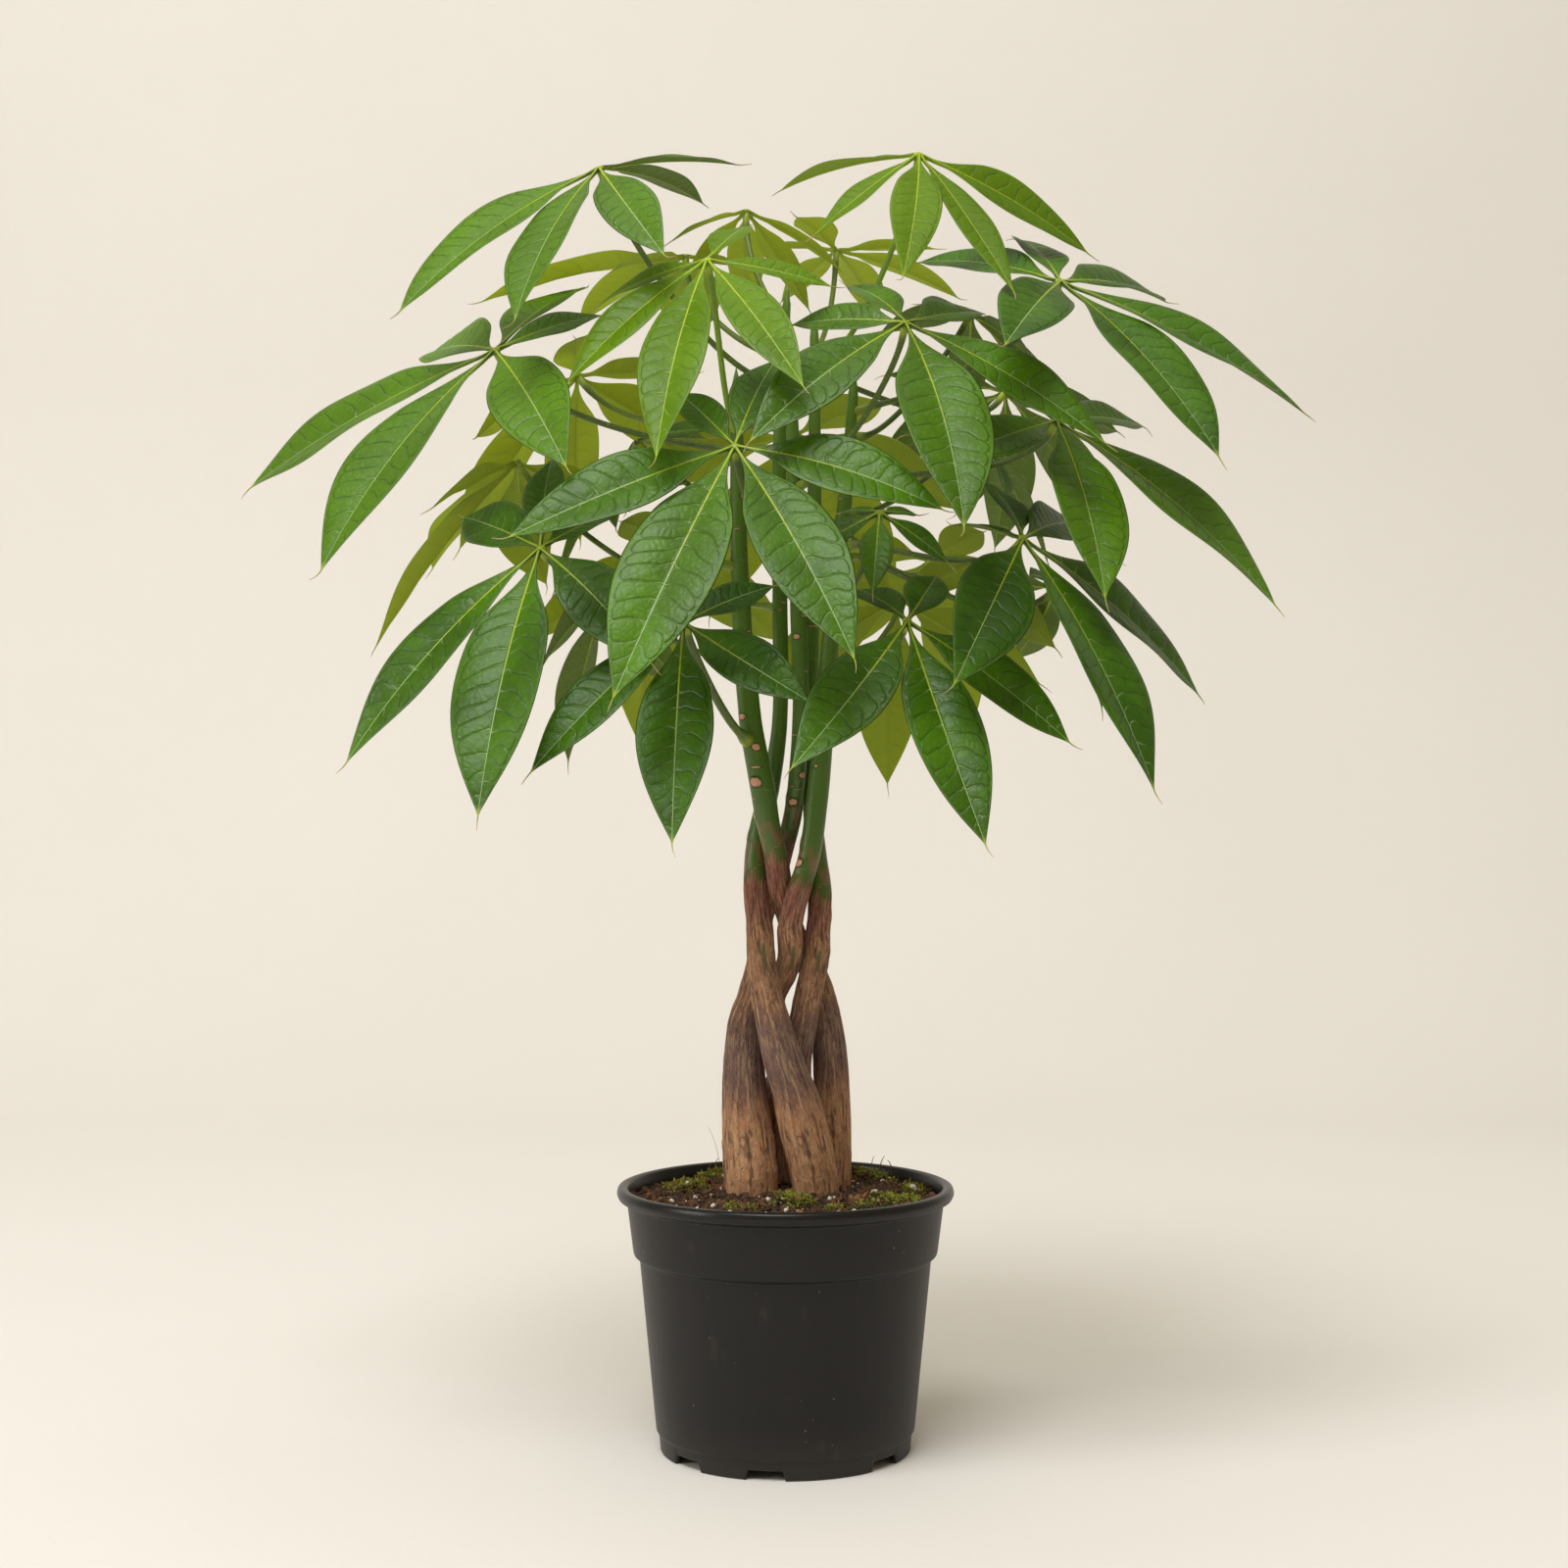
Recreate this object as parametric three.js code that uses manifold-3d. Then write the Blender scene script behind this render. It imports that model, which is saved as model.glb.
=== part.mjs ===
// A braided money tree in a black nursery pot: five young trees whose trunks are plaited
// together, standing in one pot of soil, each with its own green stem and hand-shaped leaves.
// Millimetres, +Z up. The origin is the middle of the pot's underside, and -Y is the front.
import * as THREE from 'three';
import { mergeVertices } from 'three/addons/utils/BufferGeometryUtils.js';
import Module from 'manifold-3d';

const wasm = await Module();
wasm.setup();

// Driving dimensions
const RIM_RADIUS = 86;
const RIM_HEIGHT = 134;
const FOOT_RADIUS = 63.6;
const FOOT_HEIGHT = 9.5;
const BAND_BOTTOM = 101.5;
const SOIL_MIDDLE = 131;
const SOIL_EDGE = 126.5;
const FIT_GAP = 0.35;

// The plant was measured in a front view, where a place is [across, up] on the plane through the
// pot's axis and a depth behind that plane. The eye is level, this far away and this high.
const EYE_DISTANCE = 1250;
const EYE_HEIGHT = 338;

const COLOURS = {
  pot: 0x2b2a29,
  soil: 0x3a2a1e,
  trunk: 0x7a5c45,
  leaf: 0x3f7a2c,
  youngLeaf: 0x6fa532,
};

const UP = new THREE.Vector3(0, 0, 1);
const FRONT = new THREE.Vector3(0, -1, 0);
const part = new THREE.Group();

function place([across, up, depth]) {
  const grow = (EYE_DISTANCE + depth) / EYE_DISTANCE;
  return new THREE.Vector3(across * grow, depth, EYE_HEIGHT + (up - EYE_HEIGHT) * grow);
}

function addPart(name, geometry, color, roughness) {
  const material = new THREE.MeshStandardMaterial({ color, roughness, metalness: 0 });
  const mesh = new THREE.Mesh(geometry, material);
  mesh.name = name;
  part.add(mesh);
}

// Closed meshes to solids and back

function solidOf(geometry) {
  const bare = geometry.clone();
  bare.deleteAttribute('normal');
  bare.deleteAttribute('uv');
  const merged = mergeVertices(bare, 1e-3);
  return new wasm.Manifold(new wasm.Mesh({
    numProp: 3,
    vertProperties: new Float32Array(merged.attributes.position.array),
    triVerts: new Uint32Array(merged.index.array),
  }));
}

function geometryOf(solid) {
  const mesh = solid.getMesh();
  const geometry = new THREE.BufferGeometry();
  geometry.setAttribute('position', new THREE.BufferAttribute(mesh.vertProperties, 3));
  geometry.setIndex(new THREE.BufferAttribute(mesh.triVerts, 1));
  return geometry;
}

function meshOf(points, faces) {
  const geometry = new THREE.BufferGeometry();
  geometry.setAttribute('position', new THREE.Float32BufferAttribute(points.flatMap((p) => p.toArray()), 3));
  geometry.setIndex(faces.flat());
  return geometry;
}

function lathe(profile, segments) {
  const geometry = new THREE.LatheGeometry(profile.map(([r, z]) => new THREE.Vector2(r, z)), segments);
  return geometry.rotateX(Math.PI / 2);
}

// Pot

const POT_SEGMENTS = 34;
const FLOOR_UNDER = 6.5;
const FLOOR_TOP = 8.5;
const DISH_RADIUS = 24;
const NOTCH = { width: 17, height: 5.5 };
const DRAIN = { radius: 4, circle: 50, sides: 6 };

// Where the foot is notched, in degrees round the pot from its front towards +X.
const NOTCHES = [-50, -9, 51, 92, 152, 193, 253];

// The inner wall from the floor's edge up to the rim: [radius, height].
const INNER_WALL = [
  [62.6, FLOOR_TOP], [64.2, 11.5], [72.7, 98.4], [75.9, BAND_BOTTOM + 2], [79, 128.5], [80.4, 133.2],
];

function potProfile() {
  return [
    [0, 0], [DISH_RADIUS - 3, 0], [DISH_RADIUS, FLOOR_UNDER], [FOOT_RADIUS - 3, FLOOR_UNDER],
    [FOOT_RADIUS - 1.8, 0], [FOOT_RADIUS, 0], [FOOT_RADIUS + 0.9, FOOT_HEIGHT],
    [FOOT_RADIUS + 2.2, FOOT_HEIGHT + 0.8], [74.3, 97.6], [77.2, 99.4], [77.6, BAND_BOTTOM],
    [80.7, 126], [84.8, 127.4], [RIM_RADIUS, 130.2], [85.2, 133.2], [83, RIM_HEIGHT],
    ...INNER_WALL.toReversed(),
    [DISH_RADIUS, FLOOR_TOP], [DISH_RADIUS - 4, 2], [0, 2],
  ];
}

function turned(geometry, degrees) {
  return geometry.rotateZ(THREE.MathUtils.degToRad(degrees));
}

function makePot() {
  let pot = solidOf(lathe(potProfile(), POT_SEGMENTS));
  for (const angle of NOTCHES) {
    const notch = new THREE.BoxGeometry(16, NOTCH.width, 2 * NOTCH.height);
    pot = pot.subtract(solidOf(turned(notch.translate(FOOT_RADIUS, 0, 0), angle - 90)));
    const drain = new THREE.CylinderGeometry(DRAIN.radius, DRAIN.radius, 12, DRAIN.sides);
    drain.rotateX(Math.PI / 2).translate(DRAIN.circle, 0, FLOOR_TOP);
    pot = pot.subtract(solidOf(turned(drain, angle - 90)));
  }
  return geometryOf(pot);
}

// Trunks: each is a stack of level rings along the rows [height, across, depth, radius] of its
// middle line. The lower half is the fat plaited trunk and the upper half its thin green stem.

const TRUNK_SIDES = 9;
const RING_STEP = 12;
const TRUNKS = {
  trunk_1: [
    [88, 17, -8, 9], [131, 15.6, -10, 11.4], [164, 9, -15, 12.4], [182, 4.8, -17.5, 11.8],
    [199, -1, -19, 10.6], [216, -5.4, -18.3, 9.2], [233, -9.6, -16.5, 8], [250, -12.2, -12, 7.2],
    [267, -13.3, -6.5, 6.7], [276, -14.3, -2.5, 6.5], [285, -15, 0.5, 6.3], [302, -14.8, 3, 5.9],
    [319, -12.2, 5.5, 5.4], [336, -8, 6, 4.9], [371, -3, 7, 4], [440, -3, 9, 3.8],
    [520, -3, 12, 3.4], [592, 1, 13, 2],
  ],
  trunk_2: [
    [88, 25, 14, 8], [131, 24, 15, 9.8], [164, 24.2, 14, 9.6], [199, 22.8, 12, 9], [233, 17, 12.8, 7.7],
    [250, 10, 13, 7.1], [258, 5.7, 10, 6.7], [267, 2.3, 4.5, 6.3], [276, -0.6, 0.8, 6.2],
    [285, -2.4, -2.5, 6.2], [302, -5, -8, 6.1], [319, -8.9, -9.5, 6.2], [336, -11.5, -10, 6.4],
    [371, -17.9, -9, 5.7], [440, -23, -9, 4.8], [545, -25, -7, 2.6],
  ],
  trunk_3: [
    [88, -18, -7, 10], [131, -17, -8, 13.2], [150, -18.2, -6, 13.6], [181, -20.8, 0, 11.6],
    [199, -21.4, 4.5, 10.1], [216, -20.6, 15, 8.9], [233, -16, 18, 7.6], [250, -13, 18, 6.4],
    [267, -12.4, 17.8, 6], [285, -6, 15.4, 5.7], [302, -1.5, 7.6, 5.1], [319, 3.1, 3.4, 4.9],
    [336, 5.4, -1, 4.6], [371, 7.8, -4, 4.2], [440, 6, -9, 4], [500, 4, -12, 3.5], [562, 2, -15, 2.4],
  ],
  trunk_4: [
    [88, -20, 21, 8.5], [131, -19, 22, 10.2], [164, -11, 22.5, 9.5], [182, -2.5, 21, 8.9],
    [191, -0.4, 18.6, 8.5], [199, -1.2, 15, 8], [207, -3.2, 10, 7.8], [216, -6, 5.2, 7.5],
    [227, -7.3, 1, 7.1], [233, -4.9, -0.5, 7], [239, -1.3, -2, 6.7], [250, 2.4, -5, 6.4],
    [267, 2.5, -10, 6.2], [285, 6.8, -11.6, 6.1], [302, 12, -11.5, 5.7], [336, 16.6, -10, 5.5],
    [371, 19.9, -9, 5.1], [440, 25, -6, 4.4], [490, 31, -2, 3.6], [545, 35, 0, 2.4],
  ],
  trunk_5: [
    [88, 3, 19, 8], [131, 3, 19, 9.7], [150, 3.4, 15.5, 9.2], [164, 4, 10, 8.9], [182, 4.6, 3.6, 8.4],
    [199, 5.6, -0.9, 7.9], [216, 8.8, -4.4, 7.5], [233, 12, -3.6, 7.2], [250, 15.5, -0.6, 6.9],
    [267, 16.9, 0, 6.3], [285, 17.4, 1, 5.9], [302, 15.6, 3, 5.5], [319, 14.2, 4.6, 5.1],
    [336, 13, 8, 4.9], [371, 12.6, 10, 4.4], [440, 14, 13, 4], [500, 15, 18, 3.5], [578, 15, 21, 2.2],
  ],
};

// The value of column k at height z, on a smooth curve through the rows.
function along(rows, z, k) {
  const last = rows.length - 1;
  const i = Math.max(0, Math.min(last - 1, rows.findIndex((row) => row[0] > z) - 1));
  const at = rows[0][0] >= z ? 0 : z >= rows[last][0] ? last - 1 : i;
  const slope = (j) => {
    const before = rows[Math.max(0, j - 1)];
    const after = rows[Math.min(last, j + 1)];
    return (after[k] - before[k]) / (after[0] - before[0]);
  };
  const [low, high] = [rows[at], rows[at + 1]];
  const span = high[0] - low[0];
  const t = Math.max(0, Math.min(1, (z - low[0]) / span));
  const rise = t * t * (3 - 2 * t);
  const start = t * (1 - t) * (1 - t) * span * slope(at);
  const end = t * t * (t - 1) * span * slope(at + 1);
  return low[k] + rise * (high[k] - low[k]) + start + end;
}

function trunkGeometry(rows, grow = 0, top = rows.at(-1)[0]) {
  const bottom = rows[0][0] - grow;
  const steps = Math.round((top - bottom) / RING_STEP);
  const points = [new THREE.Vector3(along(rows, bottom, 1), along(rows, bottom, 2), bottom)];
  for (let s = 0; s <= steps; s += 1) {
    const z = bottom + (s / steps) * (top - bottom);
    for (let j = 0; j < TRUNK_SIDES; j += 1) {
      const angle = (2 * Math.PI * j) / TRUNK_SIDES;
      const radius = along(rows, z, 3) + grow;
      points.push(new THREE.Vector3(
        along(rows, z, 1) + radius * Math.cos(angle), along(rows, z, 2) + radius * Math.sin(angle), z));
    }
  }
  points.push(new THREE.Vector3(along(rows, top, 1), along(rows, top, 2), top + grow));
  const faces = [];
  const ring = (s, j) => 1 + s * TRUNK_SIDES + (j % TRUNK_SIDES);
  for (let j = 0; j < TRUNK_SIDES; j += 1) {
    faces.push([0, ring(0, j + 1), ring(0, j)], [points.length - 1, ring(steps, j), ring(steps, j + 1)]);
    for (let s = 0; s < steps; s += 1) {
      faces.push([ring(s, j), ring(s, j + 1), ring(s + 1, j + 1)], [ring(s, j), ring(s + 1, j + 1), ring(s + 1, j)]);
    }
  }
  return meshOf(points, faces);
}

// Soil: it fills the pot to just under the rim, with a plain hole for each trunk.

function makeSoil() {
  const profile = [[0, 2 + FIT_GAP], [DISH_RADIUS - 4.5, 2 + FIT_GAP], [DISH_RADIUS - 0.5, FLOOR_TOP + FIT_GAP]];
  for (const [radius, height] of INNER_WALL.slice(0, -1)) {
    if (height < SOIL_EDGE) profile.push([radius - FIT_GAP, Math.max(height, FLOOR_TOP + FIT_GAP)]);
  }
  profile.push([78.8 - FIT_GAP, SOIL_EDGE], [60, SOIL_EDGE + 1.6], [36, SOIL_MIDDLE - 0.4], [0, SOIL_MIDDLE]);
  let soil = solidOf(lathe(profile, POT_SEGMENTS));
  for (const rows of Object.values(TRUNKS)) {
    soil = soil.subtract(solidOf(trunkGeometry(rows, FIT_GAP, 145)));
  }
  return geometryOf(soil);
}

// Leaves: a curved stalk from the stem up to a small hub, and leaflets that spread from the hub
// like the ribs of an umbrella and arch over to their tips.

const HUB_RADIUS = 3.2;
const HUB_HALF = 1.2;
const STALK_STEPS = 4;
const STALK = { root: 2.6, middle: 1.5, top: 1.9, clear: 0.5, handle: 0.2 };
const BLADE = { width: 0.34, edge: 0.7, ribTop: 0.4, ribUnder: 0.9, fold: 0.2, arch: 0.08, sway: 0.05 };
const STATIONS = [0.2, 0.42, 0.64, 0.84];
const FAN_DROOP = 24;
const DEGREE = Math.PI / 180;

// A share of the full width at a share s of the leaflet's length: a wedge from the hub, widest
// just past the middle.
function outline(s) {
  return Math.sin(Math.PI * s ** 1.1);
}

// A fixed draw between -1 and 1 for two whole numbers.
function draw(a, b) {
  const x = Math.sin(a * 12.9898 + b * 78.233) * 43758.5453;
  return 2 * (x - Math.floor(x)) - 1;
}

function bezier(points, t) {
  let line = points;
  while (line.length > 1) {
    line = line.slice(1).map((p, i) => line[i].clone().lerp(p, t));
  }
  return line[0];
}

// The direction the leaf's upper side faces, from the loop of its ribs, two axes across it, and
// the leaflets in their order round it.
function leafFrame(hub, leaflets) {
  const outward = new THREE.Vector3(hub.x, hub.y, 0).normalize();
  const guess = outward.clone().multiplyScalar(0.8).add(UP).normalize();
  const first = outward.clone().addScaledVector(guess, -outward.dot(guess)).normalize();
  const angleOf = (axis, zero, { rib }) => Math.atan2(rib.dot(axis.clone().cross(zero)), rib.dot(zero));
  const loop = leaflets.toSorted((a, b) => angleOf(guess, first, a) - angleOf(guess, first, b));
  const axis = new THREE.Vector3();
  loop.forEach(({ rib }, i) => axis.add(rib.clone().cross(loop[(i + 1) % loop.length].rib)));
  axis.normalize();
  const side = first.clone().addScaledVector(axis, -first.dot(axis)).normalize();
  const ordered = loop.map((leaflet) => ({ ...leaflet, angle: angleOf(axis, side, leaflet) }));
  ordered.sort((a, b) => a.angle - b.angle);
  return { axis, side, across: axis.clone().cross(side), leaflets: ordered };
}

// One section of a leaflet: left edge, rib and right edge above, then the same below.
function section(middle, left, normal, half) {
  const at = (w, n) => middle.clone().addScaledVector(left, w).addScaledVector(normal, n);
  const rise = half * BLADE.fold;
  const edge = BLADE.edge / 2;
  return [at(half, rise + edge), at(0, BLADE.ribTop), at(-half, rise + edge),
    at(-half, rise - edge), at(0, -BLADE.ribUnder), at(half, rise - edge)];
}

function leafletSections(hub, { rib, width, turn }, axis, sway) {
  const length = rib.length();
  const left = axis.clone().addScaledVector(FRONT, turn).cross(rib).normalize();
  const bulge = rib.clone().cross(left).normalize();
  const bend = hub.clone().addScaledVector(rib, 0.5).addScaledVector(bulge, BLADE.arch * length);
  bend.addScaledVector(left, sway * length);
  const line = [hub, bend, hub.clone().add(rib)];
  return STATIONS.map((s) => {
    const along = bezier(line, Math.min(1, s + 0.02)).sub(bezier(line, s - 0.02)).normalize();
    const across = left.clone().addScaledVector(along, -left.dot(along)).normalize();
    const half = 0.5 * BLADE.width * width * length * outline(s);
    return section(bezier(line, s), across, along.clone().cross(across), half);
  });
}

function leafGeometry(leaf, index) {
  const { axis, side, across, leaflets } = leafFrame(leaf.hub, leaf.leaflets);
  const angles = leaflets.map(({ angle }) => angle);
  const points = [];
  const faces = [];
  const add = (point) => points.push(point) - 1;
  const quad = (a, b, c, d) => faces.push([a, b, c], [a, c, d]);
  const count = leaflets.length;
  const hubCorner = (angle, lift) => add(leaf.hub.clone()
    .addScaledVector(side, HUB_RADIUS * Math.cos(angle))
    .addScaledVector(across, HUB_RADIUS * Math.sin(angle)).addScaledVector(axis, lift));
  const gapAfter = (i) => (i + 1 < count ? angles[i + 1] - angles[i] : angles[0] + 2 * Math.PI - angles[i]);
  const corners = angles.map((angle, i) => {
    const half = Math.min(0.42, 0.42 * gapAfter(i), 0.42 * gapAfter((i + count - 1) % count));
    return { rightTop: hubCorner(angle - half, HUB_HALF), leftTop: hubCorner(angle + half, HUB_HALF),
      rightUnder: hubCorner(angle - half, -HUB_HALF), leftUnder: hubCorner(angle + half, -HUB_HALF) };
  });

  // Leaflets
  leaflets.forEach((leaflet, i) => {
    const { rightTop, leftTop, rightUnder, leftUnder } = corners[i];
    const rings = leafletSections(leaf.hub, leaflet, axis, BLADE.sway * draw(index, i)).map((ring) => ring.map(add));
    const [a, b, c, d, e, f] = rings[0];
    faces.push([leftTop, rightTop, b], [leftTop, b, a], [rightTop, c, b]);
    faces.push([rightUnder, leftUnder, e], [leftUnder, f, e], [rightUnder, e, d]);
    quad(rightUnder, d, c, rightTop);
    quad(f, leftUnder, leftTop, a);
    rings.slice(1).forEach((ring, k) => {
      ring.forEach((_, j) => {
        const next = (j + 1) % ring.length;
        quad(rings[k][j], rings[k][next], ring[next], ring[j]);
      });
    });
    const tip = add(leaf.hub.clone().add(leaflet.rib));
    rings.at(-1).forEach((corner, j, ring) => faces.push([corner, ring[(j + 1) % ring.length], tip]));
  });

  // Hub, with its top closed by a fan
  const top = corners.flatMap((c) => [c.rightTop, c.leftTop]);
  for (let i = 1; i + 1 < top.length; i += 1) faces.push([top[0], top[i], top[i + 1]]);
  corners.forEach((c, i) => {
    const next = corners[(i + 1) % count];
    quad(c.leftUnder, next.rightUnder, next.rightTop, c.leftTop);
  });

  // Stalk, from the hub down to the stem
  const line = stalkLine(leaf, axis);
  let [first, second] = [side.clone(), across.clone()];
  const rings = [];
  for (let s = 0; s <= STALK_STEPS; s += 1) {
    const t = s / STALK_STEPS;
    const heading = bezier(line, Math.max(0, t - 0.02)).sub(bezier(line, Math.min(1, t + 0.02))).normalize();
    first = first.addScaledVector(heading, -first.dot(heading)).normalize();
    second = heading.clone().cross(first);
    const middle = s === 0 ? line[0] : bezier(line, t);
    const radius = (leaf.stout ?? 1) * (t < 0.5
      ? THREE.MathUtils.lerp(STALK.top, STALK.middle, Math.min(1, 4 * t))
      : THREE.MathUtils.lerp(STALK.middle, STALK.root, Math.max(0, 4 * t - 3)));
    rings.push(angles.map((angle) => add(middle.clone()
      .addScaledVector(first, radius * Math.cos(angle)).addScaledVector(second, radius * Math.sin(angle)))));
  }
  corners.forEach((c, i) => {
    const j = (i + 1) % count;
    faces.push([rings[0][i], c.leftUnder, c.rightUnder]);
    quad(rings[0][i], rings[0][j], corners[j].rightUnder, c.leftUnder);
    for (let s = 0; s < STALK_STEPS; s += 1) quad(rings[s + 1][i], rings[s + 1][j], rings[s][j], rings[s][i]);
  });
  const foot = rings.at(-1);
  for (let i = 1; i + 1 < count; i += 1) faces.push([foot[0], foot[i + 1], foot[i]]);
  return meshOf(points, faces);
}

// The stalk leaves its stem square to it, and comes to the hub along the leaf's axis.
function stalkLine(leaf, axis) {
  const rows = TRUNKS[leaf.stem];
  const middle = new THREE.Vector3(along(rows, leaf.root, 1), along(rows, leaf.root, 2), leaf.root);
  const outward = leaf.hub.clone().sub(middle).setZ(0).normalize();
  const foot = middle.clone().addScaledVector(outward, along(rows, leaf.root, 3) + STALK.clear);
  const top = leaf.hub.clone().addScaledVector(axis, -HUB_HALF - 2.5);
  const reach = top.distanceTo(foot);
  return [top, top.clone().addScaledVector(axis, -0.3 * reach),
    foot.clone().addScaledVector(outward, STALK.handle * reach), foot];
}

// Leaves measured in the front view: the hub as [across, up, depth], and each tip as the same
// three, the leaflet's width as a share of the usual one, and how far its face turns to the front.
const MEASURED = [
  { stem: 'trunk_1', root: 545, hub: [-95, 652, -10], tips: [
    [-197, 579, -50, 0.92, 0.3], [-138, 575, -102, 0.8], [-62, 608, -80, 0.86], [-25, 654, 20, 0.9],
    [-42, 634, 95, 0.5]] },
  { stem: 'trunk_5', root: 556, hub: [68, 659, -20], young: true, tips: [
    [-2, 641, 40, 0.76], [16, 619, -28, 0.76], [60, 597, -107, 0.63], [116, 590, -80, 0.6],
    [154, 609, 25, 0.8, 0.7]] },
  { stem: 'trunk_2', root: 520, hub: [-40, 605, -50], young: true, tips: [
    [-111, 543, -76, 0.8], [-66, 505, -124, 0.74], [9, 541, -118, 0.7], [23, 592, -40, 0.8],
    [-93, 584, -20, 0.8], [-20, 622, 10, 0.84]] },
  { stem: 'trunk_2', root: 508, hub: [-148, 559, -25], tips: [
    [-273, 489, 15, 0.9], [-237, 447, -92, 0.9], [-112, 500, -115, 0.95], [-181, 557, 50, 1.3],
    [-102, 591, 58, 1], [-94, 577, -4, 0.95, 0.4]] },
  { stem: 'trunk_3', root: 490, hub: [61, 573, -60], tips: [
    [3, 572, -30, 1.1, 0.4], [-18, 513, -113, 0.88], [91, 469, -145, 0.94], [163, 512, -80, 0.87],
    [32, 592, 0, 0.88], [101, 578, -5]] },
  { stem: 'trunk_4', root: 530, hub: [140, 594, -20], tips: [
    [68, 604, 40, 0.95, 0.5], [117, 616, 55, 0.95, 0.2], [112, 562, -112, 0.95, 0.3], [221, 505, -90, 0.95],
    [265, 527, -22, 0.88], [194, 584, 60]] },
  { stem: 'trunk_3', root: 440, hub: [-26, 510, -90], tips: [
    [-141, 464, -120, 0.9], [-88, 382, -158, 0.94], [35, 402, -158, 0.88], [80, 478, -112, 0.95],
    [-54, 537, -50], [-5, 554, -42]] },
  { stem: 'trunk_2', root: 450, hub: [-125, 458, -60], tips: [
    [-224, 349, -72, 0.68], [-157, 322, -130, 0.92], [-68, 399, -100, 1.06], [-164, 474, -5, 1.2],
    [-119, 504, -15], [-86, 477, -25, 1.1]] },
  { stem: 'trunk_4', root: 460, hub: [121, 463, -50], tips: [
    [86, 389, -130], [188, 335, -105, 0.9], [211, 383, 5, 0.85], [148, 470, 28, 0.95],
    [98, 494, 15, 0.95], [86, 470, -20, 0.95]] },
  { stem: 'trunk_2', root: 362, hub: [-52, 420, -70], stout: 1.4, tips: [
    [-130, 344, -105, 0.8], [-58, 308, -130, 0.9], [12, 380, -112], [-6, 439, -50, 1.1],
    [-79, 440, -36]] },
  { stem: 'trunk_4', root: 385, hub: [62, 421, -70], tips: [
    [3, 346, -132, 0.93], [102, 307, -130, 0.87], [145, 359, -80, 0.95], [77, 444, -20, 1.1],
    [37, 437, -25, 1.2]] },
  { stem: 'trunk_4', root: 495, hub: [138, 523, -15], tips: [
    [163, 433, -98, 0.93], [250, 429, -60, 0.84], [82, 503, -75], [183, 520, 45], [120, 530, 55]] },
  { stem: 'trunk_1', root: 582, hub: [-20, 630, 60], tips: [
    [-58, 615, 18, 0.6], [-50, 592, 105, 0.6], [-18, 578, 155, 0.6], [12, 580, 125, 0.6], [28, 600, 82, 0.6]] },
  { stem: 'trunk_5', root: 566, hub: [26, 610, 120], tips: [
    [6, 627, 75, 1.25], [-10, 612, 130, 0.7], [-2, 584, 185, 0.7], [46, 574, 215, 0.7],
    [88, 586, 180, 0.66], [76, 611, 110, 0.76]] },
  { stem: 'trunk_2', root: 430, hub: [-137, 502, 40], tips: [
    [-209, 408, 10], [-180, 448, 110], [-180, 479, 0], [-122, 440, 130], [-92, 478, 95]] },
  { stem: 'trunk_1', root: 560, hub: [-51, 607, 50], tips: [
    [-155, 584, 45, 1.05], [-105, 573, 120, 0.95], [-50, 560, 152], [-88, 600, 5], [-18, 600, 28]] },
];

// Leaves of the back and the inside, by rule: hub, the way the leaf faces in plan (0 is +X and 90
// is the back), how far its axis leans that way, its number of leaflets and the longest one.
const FANNED = [
  { stem: 'trunk_1', root: 472, hub: [-76, 513, 20], facing: 185, lean: 38, count: 5, reach: 85 },
  { stem: 'trunk_4', root: 430, hub: [48, 476, -46], facing: 268, lean: 35, count: 5, reach: 50 },
  { stem: 'trunk_5', root: 382, hub: [58, 433, 66], facing: 96, lean: 58, count: 5, reach: 104 },
  { stem: 'trunk_4', root: 515, hub: [95, 578, 40], facing: 15, lean: 24, count: 5, reach: 86 },
  { stem: 'trunk_4', root: 475, hub: [98, 517, 64], facing: 10, lean: 40, count: 5, reach: 77 },
  { stem: 'trunk_1', root: 524, hub: [-106, 546, 125], facing: 135, lean: 35, count: 6, reach: 118 },
  { stem: 'trunk_5', root: 505, hub: [5, 516, 160], facing: 92, lean: 35, count: 6, reach: 130 },
  { stem: 'trunk_5', root: 550, hub: [112, 538, 134], facing: 48, lean: 35, count: 6, reach: 112 },
  { stem: 'trunk_1', root: 430, hub: [-62, 459, 130], facing: 115, lean: 45, count: 5, reach: 115 },
  { stem: 'trunk_5', root: 478, hub: [74, 452, 142], facing: 64, lean: 45, count: 5, reach: 112 },
  { stem: 'trunk_1', root: 395, hub: [-92, 433, 72], facing: 145, lean: 50, count: 5, reach: 90 },
  { stem: 'trunk_4', root: 455, hub: [138, 438, 90], facing: 20, lean: 45, count: 5, reach: 76 },
];

function fannedTips({ facing, lean, count, reach }, hub, index) {
  const heading = new THREE.Vector3(Math.cos(facing * DEGREE), Math.sin(facing * DEGREE), 0);
  const axis = UP.clone().multiplyScalar(Math.cos(lean * DEGREE)).addScaledVector(heading, Math.sin(lean * DEGREE));
  const down = heading.clone().multiplyScalar(Math.cos(lean * DEGREE)).addScaledVector(UP, -Math.sin(lean * DEGREE));
  const across = axis.clone().cross(down);
  return Array.from({ length: count }, (_, k) => {
    const angle = ((k - (count - 1) / 2) * 2 * Math.PI) / (count + 0.5) + 0.08 * draw(index, k + 20);
    const droop = (FAN_DROOP + 5 * draw(index, k + 40)) * DEGREE;
    const length = reach * (0.76 + 0.24 * Math.cos(angle)) * (1 + 0.06 * draw(index, k + 60));
    return hub.clone()
      .addScaledVector(down, length * Math.cos(droop) * Math.cos(angle))
      .addScaledVector(across, length * Math.cos(droop) * Math.sin(angle))
      .addScaledVector(axis, -length * Math.sin(droop));
  });
}

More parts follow.
